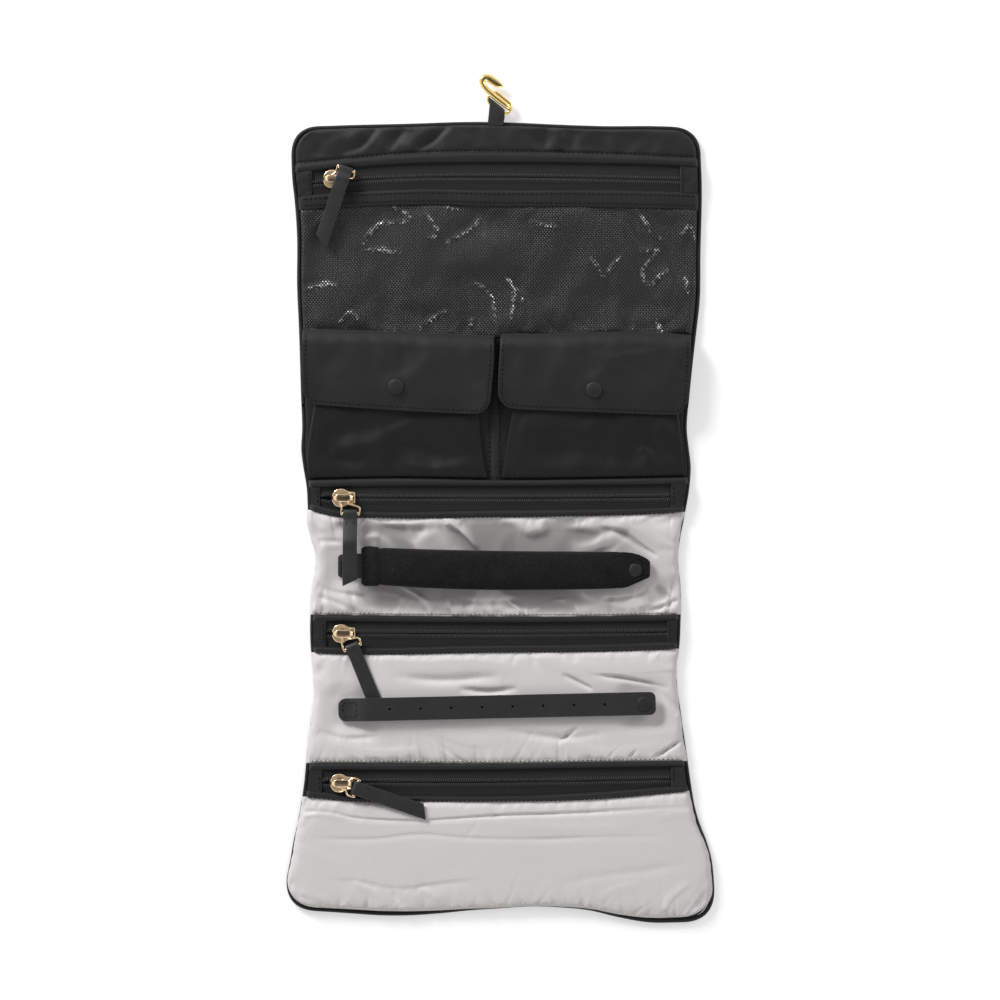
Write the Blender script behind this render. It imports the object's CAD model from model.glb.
"""Looks of a hanging jewelry roll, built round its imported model.

Lengths in this file are millimetres until a mesh is made, in the frame of the model: X to the right,
Y towards the hook and Z out of the lining. Places that were read off the photograph are in its pixels.
"""

import math

import bmesh
import bpy
import numpy as np
from mathutils import Matrix, Vector
from mathutils.bvhtree import BVHTree


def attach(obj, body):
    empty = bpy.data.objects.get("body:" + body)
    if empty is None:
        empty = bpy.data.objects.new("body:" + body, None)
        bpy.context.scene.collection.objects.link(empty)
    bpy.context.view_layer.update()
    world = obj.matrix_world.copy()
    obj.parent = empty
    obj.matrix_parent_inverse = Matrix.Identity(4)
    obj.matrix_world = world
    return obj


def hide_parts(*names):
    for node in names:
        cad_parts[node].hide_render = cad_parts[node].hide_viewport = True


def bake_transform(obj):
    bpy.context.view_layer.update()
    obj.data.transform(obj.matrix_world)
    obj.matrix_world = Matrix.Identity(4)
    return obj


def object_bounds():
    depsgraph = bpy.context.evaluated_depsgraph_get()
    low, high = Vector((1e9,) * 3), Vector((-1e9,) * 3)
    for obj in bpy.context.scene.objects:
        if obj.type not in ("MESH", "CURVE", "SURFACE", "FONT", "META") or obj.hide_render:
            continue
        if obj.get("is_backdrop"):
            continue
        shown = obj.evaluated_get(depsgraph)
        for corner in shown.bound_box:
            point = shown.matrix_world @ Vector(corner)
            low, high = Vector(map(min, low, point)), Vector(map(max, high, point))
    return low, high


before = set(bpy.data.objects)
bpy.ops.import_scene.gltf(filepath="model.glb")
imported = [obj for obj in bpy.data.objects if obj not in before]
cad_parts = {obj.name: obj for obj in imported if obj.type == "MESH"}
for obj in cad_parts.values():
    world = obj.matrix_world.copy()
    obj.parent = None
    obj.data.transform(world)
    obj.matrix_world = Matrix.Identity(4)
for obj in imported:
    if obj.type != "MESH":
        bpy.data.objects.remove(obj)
cad_box = [list(corner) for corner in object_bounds()]

MM = 0.001
PIXEL = 0.572
PHOTO_X = 499
PHOTO_Y = 474


def column_x(px):
    return (px - PHOTO_X) * PIXEL


def row_y(py):
    return (PHOTO_Y - py) * PIXEL


def at(px, py):
    return column_x(px), row_y(py)


def add_node(tree, kind, output=0, inputs=(), **settings):
    """Adds a shader node and gives one of its outputs. Inputs are values or outputs of other nodes."""
    node = tree.nodes.new("ShaderNode" + kind)
    for name, value in settings.items():
        setattr(node, name, value)
    for socket, value in dict(inputs).items():
        if isinstance(value, bpy.types.NodeSocket):
            tree.links.new(value, node.inputs[socket])
        else:
            node.inputs[socket].default_value = value
    return node.outputs[output]


# Stage: camera, lamps, floor, world and a card that shows only in reflections

CAMERA_HEIGHT = 2600
SENSOR = 36
# The height at which a pixel of the picture is as big as one of the photograph
PICTURE_LEVEL = 6
LAMPS = [
    ("left_lamp", (-1.3, 1.5, 1.0), 0.8, 46),
    ("right_lamp", (1.7, 0.9, 1.2), 0.8, 9),
    ("front_lamp", (0.3, -1.9, 1.3), 0.9, 7),
]
WORLD_LIGHT = 0.29
FLOOR_GLOW = 0.4
CARD_SHADE = {"From Min": 0.25, "From Max": 1.1, "To Min": 0.06, "To Max": 0.5}


def make_stage():
    scene = bpy.context.scene
    scene.view_settings.view_transform = "Standard"
    camera = bpy.data.objects.new("camera", bpy.data.cameras.new("camera"))
    scene.collection.objects.link(camera)
    x, y = at(500, 500)
    camera.location = (x * MM, y * MM, CAMERA_HEIGHT * MM)
    camera.data.sensor_width = SENSOR
    camera.data.lens = SENSOR * (CAMERA_HEIGHT - PICTURE_LEVEL) / (1000 * PIXEL)
    camera.data.clip_end = 100
    scene.camera = camera

    for name, place, size, power in LAMPS:
        lamp = bpy.data.lights.new(name, "AREA")
        lamp.size = size
        lamp.energy = power
        obj = bpy.data.objects.new(name, lamp)
        obj.location = place
        obj.rotation_euler = (-Vector(place)).to_track_quat("-Z", "Y").to_euler()
        scene.collection.objects.link(obj)

    world = bpy.data.worlds.new("world")
    scene.world = world
    world.use_nodes = True
    tree = world.node_tree
    background = tree.nodes["Background"]
    background.inputs["Color"].default_value = (1, 1, 1, 1)
    tree.links.new(seen_or(tree, 1.0, WORLD_LIGHT), background.inputs["Strength"])

    floor, tree, shader = disc("floor", 8, -0.0006)
    shader.inputs["Base Color"].default_value = (0.86, 0.86, 0.86, 1)
    shader.inputs["Roughness"].default_value = 1
    shader.inputs["Emission Color"].default_value = (1, 1, 1, 1)
    tree.links.new(seen_or(tree, FLOOR_GLOW, 0), shader.inputs["Emission Strength"])

    card, tree, shader = disc("dark_card", 1.9, 2.3)
    place = add_node(tree, "TexCoord", "Object")
    away = add_node(tree, "VectorMath", "Value", {0: place}, operation="LENGTH")
    shade = add_node(tree, "MapRange", "Result", {"Value": away, **CARD_SHADE})
    tree.links.new(shade, shader.inputs["Base Color"])
    for rays in ("camera", "diffuse", "transmission", "volume_scatter", "shadow"):
        setattr(card, f"visible_{rays}", False)


def disc(name, radius, height):
    """A round piece of the stage, in metres, with the node tree and the shader of its matt material."""
    bpy.ops.mesh.primitive_circle_add(vertices=96, radius=radius, fill_type="NGON")
    obj = bpy.context.object
    obj.name = name
    obj.location.z = height
    obj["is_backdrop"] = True
    material = bpy.data.materials.new(name)
    material.use_nodes = True
    obj.data.materials.append(material)
    shader = material.node_tree.nodes["Principled BSDF"]
    shader.inputs["Specular IOR Level"].default_value = 0
    return obj, material.node_tree, shader


def seen_or(tree, seen, otherwise):
    """One strength for what is seen, mirrored or looked through, and another for light on the object."""
    camera, glossy, through = (
        add_node(tree, "LightPath", f"Is {rays} Ray") for rays in ("Camera", "Glossy", "Transmission")
    )
    first = add_node(tree, "Math", 0, {0: camera, 1: glossy}, operation="MAXIMUM")
    second = add_node(tree, "Math", 0, {0: first, 1: through}, operation="MAXIMUM")
    return add_node(tree, "MapRange", "Result", {"Value": second, "To Min": otherwise, "To Max": seen})


make_stage()

# Materials


class Look:
    """A Principled material with helpers for weave, grain and wear, in millimetres of the resting part."""

    def __init__(self, name, color, roughness, metallic=0.0, **sockets):
        self.material = bpy.data.materials.new(name)
        self.material.use_nodes = True
        self.tree = self.material.node_tree
        self.inputs = self.tree.nodes["Principled BSDF"].inputs
        self.color = color
        self.inputs["Base Color"].default_value = (*color, 1)
        self.inputs["Roughness"].default_value = roughness
        self.inputs["Metallic"].default_value = metallic
        for socket, value in sockets.items():
            self.inputs[socket.replace("_", " ")].default_value = value
        self.normal = {}

    def node(self, kind, output=0, inputs=(), **settings):
        return add_node(self.tree, kind, output, inputs, **settings)

    def link(self, value, socket):
        self.tree.links.new(value, self.inputs[socket])

    def place(self, turn=0.0):
        turned_by = (0, 0, math.radians(turn))
        place = self.node("TexCoord", "Object")
        return self.node("Mapping", 0, {"Vector": place, "Scale": [1 / MM] * 3, "Rotation": turned_by})

    def wave(self, pitch, turn):
        inputs = {"Vector": self.place(turn), "Scale": 0.314 / pitch, "Distortion": 0.6, "Detail": 1}
        return self.node("TexWave", "Fac", inputs, wave_type="BANDS", bands_direction="X", wave_profile="SIN")

    def noise(self, size, detail=3.0):
        return self.node("TexNoise", "Fac", {"Vector": self.place(), "Scale": 1 / size, "Detail": detail})

    def cells(self, size):
        inputs = {"Vector": self.place(), "Scale": 1 / size}
        return self.node("TexVoronoi", "Distance", inputs, feature="SMOOTH_F1")

    def math(self, operation, a, b=0):
        return self.node("Math", 0, {0: a, 1: b}, operation=operation)

    def times(self, a, b):
        return self.math("MULTIPLY", a, b)

    def ranged(self, value, low, high, start=0.0, end=1.0):
        inputs = {"Value": value, "From Min": start, "From Max": end, "To Min": low, "To Max": high}
        return self.node("MapRange", "Result", inputs)

    def mixed(self, factor, first, second):
        """Base colour between two colours, by a factor from 0 to 1."""
        inputs = {"Factor": factor, 6: first, 7: second}
        self.link(self.node("Mix", 2, inputs, data_type="RGBA"), "Base Color")

    def tint(self, factor, dark, light):
        self.mixed(factor, *((*[c * shade for c in self.color], 1) for shade in (dark, light)))

    def over(self, factor, color):
        """Another colour over the tinted base colour."""
        self.mixed(factor, self.inputs["Base Color"].links[0].from_socket, (*color, 1))

    def attribute(self, name):
        return self.node("Attribute", "Fac", attribute_name=name)

    def rough(self, value, low, high):
        self.link(self.ranged(value, low, high), "Roughness")

    def bump(self, value, depth):
        inputs = {"Strength": 1.0, "Distance": depth * MM, "Height": value, **self.normal}
        self.normal = {"Normal": self.node("Bump", "Normal", inputs)}
        self.link(self.normal["Normal"], "Normal")


def make_looks():
    looks = {}

    look = Look("black_nylon", (0.0152, 0.0152, 0.016), 0.56, Specular_IOR_Level=0.22, Sheen_Weight=0.06)
    weave = look.times(look.wave(1.1, 20), look.wave(1.3, 110))
    clouds = look.noise(22)
    look.tint(look.times(look.ranged(weave, 0.55, 1), look.ranged(clouds, 0.4, 1)), 0.5, 1.7)
    look.rough(clouds, 0.48, 0.64)
    look.bump(weave, 0.06)
    look.bump(look.noise(3.5, 2), 0.06)
    looks["nylon"] = look

    look = Look("shaded_nylon", (0.0092, 0.0092, 0.0097), 0.6, Specular_IOR_Level=0.18, Sheen_Weight=0.06)
    weave = look.times(look.wave(1.1, 20), look.wave(1.3, 110))
    look.tint(look.times(look.ranged(weave, 0.55, 1), look.ranged(look.noise(18), 0.4, 1)), 0.5, 1.7)
    look.rough(look.noise(22), 0.52, 0.66)
    look.bump(weave, 0.06)
    looks["pocket"] = look

    look = Look("zip_tape", (0.021, 0.0222, 0.0218), 0.8, Specular_IOR_Level=0.15, Sheen_Weight=0.08)
    twill = look.times(look.wave(0.8, 0), look.wave(1.1, 90))
    look.tint(twill, 0.6, 1.7)
    look.rough(twill, 0.85, 0.7)
    look.bump(twill, 0.12)
    looks["tape"] = look

    look = Look("coil", (0.034, 0.036, 0.0355), 0.5, Specular_IOR_Level=0.3)
    look.tint(look.noise(1.2), 0.7, 1.3)
    look.rough(look.noise(2.0), 0.36, 0.5)
    looks["coil"] = look

    look = Look("grey_lining", (0.71, 0.678, 0.677), 0.5, Sheen_Weight=0.2, Sheen_Roughness=0.35)
    lines = look.times(look.wave(1.25, 45), look.wave(1.25, -45))
    look.tint(look.times(look.ranged(lines, 0.7, 1), look.ranged(look.noise(40), 0.85, 1)), 0.72, 1.14)
    look.over(look.attribute("hollow"), (0.3, 0.285, 0.285))
    look.rough(lines, 0.58, 0.44)
    look.bump(lines, 0.06)
    looks["lining"] = look

    look = Look("mesh_film", (0.02, 0.0202, 0.021), 0.3, 0.7)
    dots = hex_dots(look, 1.8, 2.16)
    look.tint(dots, 0.22, 3.5)
    glint = look.times(look.ranged(look.noise(1.9, 0), 0, 1, 0.46, 0.62), look.math("POWER", dots, 1.5))
    look.over(look.times(look.attribute("crease"), glint), (0.8, 0.81, 0.83))
    look.rough(dots, 0.62, 0.22)
    look.bump(dots, 0.14)
    looks["film"] = look

    look = Look("leather", (0.0195, 0.0195, 0.0206), 0.46, Specular_IOR_Level=0.32)
    grain = look.cells(0.8)
    clouds = look.noise(9)
    look.tint(look.times(look.ranged(grain, 0.7, 1), look.ranged(clouds, 0.6, 1)), 0.7, 1.55)
    look.rough(clouds, 0.4, 0.54)
    look.bump(grain, 0.06)
    looks["leather"] = look

    look = Look("bar_cloth", (0.0092, 0.0092, 0.0096), 0.92, Specular_IOR_Level=0.1, Sheen_Weight=0.12)
    fuzz = look.noise(0.9, 4)
    worn = look.ranged(look.noise(9), 0.4, 1, 0.3, 0.7)
    look.tint(look.times(look.ranged(fuzz, 0, 1, 0.3, 0.7), worn), 0.6, 2.0)
    look.over(look.ranged(look.noise(1.1, 0), 0, 0.3, 0.76, 0.82), (0.07, 0.07, 0.07))
    look.rough(fuzz, 0.96, 0.85)
    look.bump(fuzz, 0.12)
    looks["velvet"] = look

    for name, color in (("rose_gold", (0.95, 0.7, 0.44)), ("yellow_gold", (0.9, 0.68, 0.27))):
        look = Look(name, color, 0.16, 1.0)
        wear = look.noise(2.4, 4)
        look.tint(wear, 0.86, 1.08)
        look.rough(wear, 0.09, 0.2)
        look.bump(look.noise(2.2, 2), 0.05)
        looks[name] = look

    look = Look("snap_black", (0.0135, 0.0135, 0.0142), 0.7, Specular_IOR_Level=0.28)
    look.tint(look.noise(3), 0.7, 1.4)
    look.rough(look.noise(1.5), 0.5, 0.62)
    look.bump(look.wave(0.9, 30), 0.04)
    looks["snap"] = look

    look = Look("socket_metal", (0.16, 0.16, 0.165), 0.3, 1.0)
    look.tint(look.noise(1.5), 0.75, 1.2)
    look.rough(look.noise(1.1), 0.22, 0.4)
    looks["socket"] = look

    look = Look("black_thread", (0.0045, 0.0045, 0.005), 0.6, Specular_IOR_Level=0.2)
    look.tint(look.wave(0.35, 40), 0.7, 1.5)
    looks["thread"] = look

    look = Look("pale_thread", (0.66, 0.63, 0.52), 0.6)
    look.tint(look.noise(1.6, 1), 0.6, 1.2)
    looks["pale_thread"] = look

    look = Look("pocket_inside", (0.0016, 0.0016, 0.0017), 0.9, Specular_IOR_Level=0.05)
    look.tint(look.noise(1.5), 0.6, 1.4)
    looks["inside"] = look
    return {name: look.material for name, look in looks.items()}


def hex_dots(look, across, along):
    """1 on small round dots that stand in rows set off by half a step."""
    place = look.place()
    found = []
    for shift in (0.0, 0.5):
        squares = []
        for axis, step in (("X", across), ("Y", along)):
            steps = look.math("DIVIDE", look.node("SeparateXYZ", axis, {0: place}), step)
            cell = look.math("ADD", steps, shift)
            distance = look.times(look.math("SUBTRACT", look.math("FRACT", cell), 0.5), step)
            squares.append(look.times(distance, distance))
        found.append(look.math("SQRT", look.math("ADD", *squares)))
    return look.ranged(look.math("MINIMUM", *found), 1, 0, across * 0.2, across * 0.36)


LOOKS = make_looks()

# Numbers on grids


def smooth_line(points):
    """A smooth line through points: a function of the first coordinate."""
    xs, ys = np.array(sorted(points), float).T
    slopes = np.gradient(ys, xs)

    def value(x):
        x = np.clip(x, xs[0], xs[-1])
        i = np.clip(np.searchsorted(xs, x) - 1, 0, len(xs) - 2)
        h = xs[i + 1] - xs[i]
        t = (x - xs[i]) / h
        return (
            (1 + 2 * t) * (1 - t) ** 2 * ys[i]
            + t * (1 - t) ** 2 * h * slopes[i]
            + t * t * (3 - 2 * t) * ys[i + 1]
            + t * t * (t - 1) * h * slopes[i + 1]
        )

    return value


def seam(*points):
    """A line across the roll, through points of the photograph."""
    return smooth_line([at(*p) for p in points])


def down(*points):
    """A line down the roll, from rows and columns of the photograph."""
    return smooth_line([(row_y(py), column_x(px)) for py, px in points])


def by_column(*pairs):
    """Values along the roll's width, each at a column of the photograph."""
    return smooth_line([(column_x(px), value) for px, value in pairs])


def lattice(x, y, size, seed):
    table = np.random.default_rng(seed).uniform(-1, 1, (64, 64))
    gx, gy = np.asarray(x) / size + 500, np.asarray(y) / size + 500
    ix, iy = np.floor(gx).astype(int), np.floor(gy).astype(int)
    fx, fy = smoothstep(gx - ix, 0, 1), smoothstep(gy - iy, 0, 1)
    corner = lambda a, b: table[(ix + a) % 64, (iy + b) % 64]
    low = corner(0, 0) * (1 - fx) + corner(1, 0) * fx
    high = corner(0, 1) * (1 - fx) + corner(1, 1) * fx
    return low * (1 - fy) + high * fy


def clouds(x, y, size, seed, octaves=3):
    return sum(lattice(x, y, size / 2**k, seed + k) / 2**k for k in range(octaves))


def smoothstep(value, low, high):
    t = np.clip((value - low) / (high - low), 0, 1)
    return t * t * (3 - 2 * t)


def least(*distances):
    return np.minimum.reduce(distances)


def rounded(distance, radius):
    """0 at an edge and 1 a radius away from it, as a quarter round."""
    t = np.clip(1 - distance / radius, 0, 1)
    return np.sqrt(1 - t * t)


def spread(count, ease=0.55):
    t = np.linspace(0, 1, count)
    return (1 - ease) * t + ease * (0.5 - 0.5 * np.cos(np.pi * t))


def through(p0, p1, p2, p3, t):
    """A smooth curve from p1 to p2 that minds their neighbours."""
    square = 2 * p0 - 5 * p1 + 4 * p2 - p3
    cube = 3 * p1 - p0 - 3 * p2 + p3
    return 0.5 * (2 * p1 + (p2 - p0) * t + square * t**2 + cube * t**3)


def open_curve(points, count):
    """Points along a smooth open line through a few points."""
    points = np.array(points, float)
    full = np.concatenate([[2 * points[0] - points[1]], points, [2 * points[-1] - points[-2]]])
    n = len(points) - 1
    steps = np.linspace(0, n, count)
    i = np.minimum(steps.astype(int), n - 1)
    return through(*(full[i + k] for k in range(4)), (steps - i)[:, None])


def closed_curve(points, count):
    """Points along a smooth closed line through a few points."""
    points = np.array(points, float)
    n = len(points)
    steps = np.linspace(0, n, count * 4, endpoint=False)
    i = steps.astype(int)
    fine = through(*(points[(i + k) % n] for k in (-1, 0, 1, 2)), (steps - i)[:, None])
    closed = np.concatenate([fine, fine[:1]])
    return resampled(closed, np.linalg.norm(np.diff(closed, axis=0), axis=1).sum() / count)[:-1]


def rounding(start, corner, end, count):
    """Points inside a bend between two ends of lines."""
    s = np.linspace(0, 1, count)[1:-1, None]
    return (1 - s) ** 2 * start + 2 * s * (1 - s) * corner + s**2 * end


def ridge(x, y, points, width, height, lean=0.0):
    """A fold along points of the photograph that dies out at its ends; a height below 0 sinks."""
    places = open_curve([at(*p) for p in points], 5 * len(points) - 4)
    best = np.full(np.shape(x), np.inf)
    along, side = np.zeros((2, *np.shape(x)))
    run = 0.0
    for (ax, ay), (bx, by) in zip(places, places[1:]):
        dx, dy = bx - ax, by - ay
        length = math.hypot(dx, dy)
        s = np.clip(((x - ax) * dx + (y - ay) * dy) / length**2, 0, 1)
        distance = np.hypot(x - ax - s * dx, y - ay - s * dy)
        nearer = distance < best
        best = np.where(nearer, distance, best)
        along = np.where(nearer, run + s * length, along)
        side = np.where(nearer, np.sign((x - ax) * dy - (y - ay) * dx), side)
        run += length
    share = along / run
    fade = np.clip(4 * share * (1 - share), 0, 1) ** 0.6
    return height * fade * np.exp(-((best / (width * (1 + lean * side))) ** 2))


def ridges(x, y, folds, wider=1.0, higher=1.0):
    return sum(ridge(x, y, points, w * wider, h * higher, lean) for points, w, h, lean in folds)


def puckers(x, y, line, side, seed, pitch, reach, depth, width):
    """Short creases that start at a sewn line and run away from it, to side 1 above it or -1 below."""
    rng = np.random.default_rng(seed)
    away = np.clip((y - line(x)) * side, 0, None)
    total = np.zeros(np.shape(x))
    for centre in np.arange(-128, 128, pitch):
        place = centre + rng.uniform(-0.5, 0.5) * pitch
        slant = rng.normal(0, 0.4)
        length = reach * rng.uniform(0.4, 1.7)
        height = depth * rng.uniform(0.3, 1.0) * rng.choice((-1, 1))
        wide = width * rng.uniform(0.6, 1.5)
        total += height * np.exp(-(((x - place - slant * away) / wide) ** 2) - away / length)
    return total * (0.35 + 0.65 * np.clip(away / 2, 0, 1))


def crumple(width, height, seed, cap, grow=0.035, free=()):
    """Relief of a cloth that is cut too big for its place and sewn down round its edge.

    Gives a function of the shares across and down. Sides in free aren't sewn.
    """
    columns, rows = int(width / CLOTH_STEP) + 1, int(height / CLOTH_STEP) + 1
    u, t = np.meshgrid(np.linspace(0, 1, columns), np.linspace(0, 1, rows))
    start = clouds(u * width, t * height, 26, seed) * 0.5
    from_top, from_foot = (1 if side in free else away for side, away in (("top", t), ("foot", 1 - t)))
    away = np.minimum(np.minimum(u, 1 - u) * width, np.minimum(from_top, from_foot) * height)
    relief = start * 2 * smoothstep(away, 0, 9)
    relief = simulated(u * width, -t * height, start * smoothstep(away, 0, 6), away < 0.01, grow)
    relief = cap * np.tanh(relief / cap)

    def weights(f):
        near = lambda g: (3 * g**3 - 6 * g**2 + 4) / 6
        return (1 - f) ** 3 / 6, near(f), near(1 - f), f**3 / 6

    def value(share_x, share_y):
        gx = np.clip(share_x, 0, 1) * (columns - 1)
        gy = np.clip(share_y, 0, 1) * (rows - 1)
        ix, iy = np.floor(gx).astype(int), np.floor(gy).astype(int)
        total = 0.0
        for k, wx in enumerate(weights(gx - ix)):
            for m, wy in enumerate(weights(gy - iy)):
                column = np.clip(ix + k - 1, 0, columns - 1)
                row = np.clip(iy + m - 1, 0, rows - 1)
                total = total + wx * wy * relief[row, column]
        return total

    return value


CLOTH_STEP = 3.0
CLOTH_FRAMES = 22
CLOTH_PRESSURE = 0.4
# The cloth is simulated at 20 units to a metre
CLOTH_UNIT = 0.02


def simulated(x, y, z, held, grow):
    """Heights of a cloth held at some points, after it has buckled."""
    obj = grid_object("cloth", *(c * CLOTH_UNIT / MM for c in (x, y, z)))
    group = obj.vertex_groups.new(name="held")
    group.add([int(i) for i in np.flatnonzero(held)], 1.0, "REPLACE")
    modifier = obj.modifiers.new("cloth", "CLOTH")
    settings = modifier.settings
    settings.quality = 5
    settings.mass = 0.2
    settings.tension_stiffness = settings.compression_stiffness = 12
    settings.shear_stiffness = 6
    settings.bending_stiffness = 0.25
    settings.vertex_group_mass = "held"
    settings.shrink_min = -grow
    settings.use_pressure = True
    settings.uniform_pressure_force = CLOTH_PRESSURE
    settings.effector_weights.gravity = 0
    modifier.collision_settings.use_collision = False
    modifier.point_cache.frame_start = 1
    modifier.point_cache.frame_end = CLOTH_FRAMES
    scene = bpy.context.scene
    for number in range(1, CLOTH_FRAMES + 1):
        scene.frame_set(number)
    evaluated = obj.evaluated_get(bpy.context.evaluated_depsgraph_get())
    moved = np.array([v.co for v in evaluated.data.vertices])
    bpy.data.objects.remove(obj)
    scene.frame_set(1)
    return moved[:, 2].reshape(np.shape(x)) / CLOTH_UNIT


# Meshes


def mesh_object(name, points, faces, material):
    mesh = bpy.data.meshes.new(name)
    mesh.from_pydata((np.asarray(points, float) * MM).tolist(), [], [list(map(int, f)) for f in faces])
    mesh.polygons.foreach_set("use_smooth", [True] * len(mesh.polygons))
    obj = bpy.data.objects.new(name, mesh)
    bpy.context.scene.collection.objects.link(obj)
    if material:
        mesh.materials.append(LOOKS[material])
        face_out(mesh)
    return obj


def face_out(mesh):
    """Turns the faces of a closed body outwards."""
    mesh.calc_loop_triangles()
    corners = np.zeros(len(mesh.loop_triangles) * 3, np.int32)
    mesh.loop_triangles.foreach_get("vertices", corners)
    places = np.zeros(len(mesh.vertices) * 3, np.float32)
    mesh.vertices.foreach_get("co", places)
    places = places.reshape(-1, 3).astype(float)
    a, b, c = (places[corners.reshape(-1, 3)[:, k]] for k in range(3))
    if np.einsum("ij,ij->", a, np.cross(b, c)) < 0:
        mesh.flip_normals()


def laid(path, *pieces):
    """Lowers a path onto the pieces below it."""
    heights = np.full(len(path), -np.inf)
    for piece in pieces:
        mesh = piece.data
        tree = BVHTree.FromPolygons([v.co for v in mesh.vertices], [p.vertices for p in mesh.polygons])
        for k, (x, y) in enumerate(path[:, :2]):
            place = tree.ray_cast((x * MM, y * MM, 0.06), (0, 0, -1))[0]
            if place is not None:
                heights[k] = max(heights[k], place[2] / MM)
    steps = np.arange(len(path))
    found = np.isfinite(heights)
    return np.c_[path[:, :2], np.interp(steps, steps[found], heights[found]) + 0.03]


def grid_faces(rows, columns):
    grid = np.arange(rows * columns).reshape(rows, columns)
    corners = (grid[:-1, :-1], grid[1:, :-1], grid[1:, 1:], grid[:-1, 1:])
    return grid, np.stack(corners, -1).reshape(-1, 4)


def grid_object(name, x, y, z):
    points = np.stack([x, y, z], -1).reshape(-1, 3)
    return mesh_object(name, points, grid_faces(*np.shape(x))[1], None)


def slab(name, x, y, top, bottom, material):
    """A closed body between two reliefs over one grid of points."""
    grid, upper = grid_faces(*x.shape)
    count = x.size
    points = np.concatenate([np.stack([x, y, z], -1).reshape(-1, 3) for z in (top, bottom)])
    rim = np.concatenate([grid[:, 0], grid[-1, 1:], grid[-2::-1, -1], grid[0, -2:0:-1]])
    following = np.roll(rim, -1)
    wall = np.stack([rim, rim + count, following + count, following], -1)
    faces = np.concatenate([upper, upper[:, ::-1] + count, wall])
    return mesh_object(name, points, faces, material)


def give(obj, name, values):
    """Stores a value at each point of a slab's upper side, for its material."""
    layer = obj.data.attributes.new(name, "FLOAT", "POINT")
    layer.data.foreach_set("value", np.r_[values.ravel(), np.zeros(values.size)])


def skin(count, sides, closed=False):
    """Faces over rings of points; the ends are capped unless the skin closes on itself."""
    index = np.arange(count * sides).reshape(count, sides)
    ahead = np.roll(index, -1, 0) if closed else index[1:]
    turned_on = lambda ring: np.roll(ring, -1)
    faces = [f for a, b in zip(index, ahead) for f in np.stack([a, turned_on(a), turned_on(b), b], -1)]
    return faces if closed else [*faces, index[0][::-1], index[-1]]


def lofted(name, rings, material, closed=False):
    rings = np.asarray(rings, float)
    return mesh_object(name, rings.reshape(-1, 3), skin(*rings.shape[:2], closed), material)


def beads(name, bars, material):
    """Many small bars in one mesh, each lofted over its own rings."""
    bars = np.asarray(bars, float)
    each = bars.shape[1] * bars.shape[2]
    one = skin(*bars.shape[1:3])
    faces = [face + each * k for k in range(len(bars)) for face in one]
    return mesh_object(name, bars.reshape(-1, 3), faces, material)


def tube_rings(path, radius, sides=10, flat=1.0, closed=False):
    """Round rings along a path; flat squeezes them in Z."""
    path = np.asarray(path, float)
    if closed:
        ahead = np.roll(path, -1, 0) - np.roll(path, 1, 0)
    else:
        ahead = np.gradient(path, axis=0)
    ahead /= np.linalg.norm(ahead, axis=1)[:, None]
    side = np.cross([0, 0, 1], ahead)
    side /= np.maximum(np.linalg.norm(side, axis=1), 1e-6)[:, None]
    up = np.cross(ahead, side)
    angles = np.linspace(0, 2 * math.pi, sides, endpoint=False)
    radii = np.broadcast_to(radius, len(path))
    return [
        p + r * (np.cos(angles)[:, None] * s + flat * np.sin(angles)[:, None] * u)
        for p, s, u, r in zip(path, side, up, radii)
    ]


def resampled(path, step):
    """Points at even steps along a path."""
    path = np.asarray(path, float)
    lengths = np.r_[0, np.cumsum(np.linalg.norm(np.diff(path, axis=0), axis=1))]
    count = max(2, int(round(lengths[-1] / step)) + 1)
    wanted = np.linspace(0, lengths[-1], count)
    return np.stack([np.interp(wanted, lengths, path[:, k]) for k in range(path.shape[1])], -1)


def stitches(name, paths, material="thread", pitch=2.7, length=1.75, width=0.7, start=4):
    """Rows of sewn stitches: each a small rounded bar that dips into the cloth at both ends."""
    round_x, round_y = (f(HEXAGON)[:, None] for f in (np.cos, np.sin))
    bars = []
    for path in paths:
        fine = resampled(path, pitch / 8)
        for i in range(start, len(fine) - 4, 8):
            ahead = fine[i + 2] - fine[max(i - 2, 0)]
            ahead = ahead / max(np.linalg.norm(ahead), 1e-9)
            side = np.cross([0, 0, 1], ahead)
            up = np.cross(ahead, side)
            bar = []
            for share, size in ((-0.5, 0.45), (-0.2, 1.0), (0.2, 1.0), (0.5, 0.45)):
                centre = fine[i] + ahead * share * length + up * (0.12 * size - 0.06)
                bar.append(centre + width / 2 * size * (round_x * side + round_y * up))
            bars.append(bar)
    return beads(name, bars, material)


HEXAGON = np.arange(6) * math.pi / 3


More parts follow.
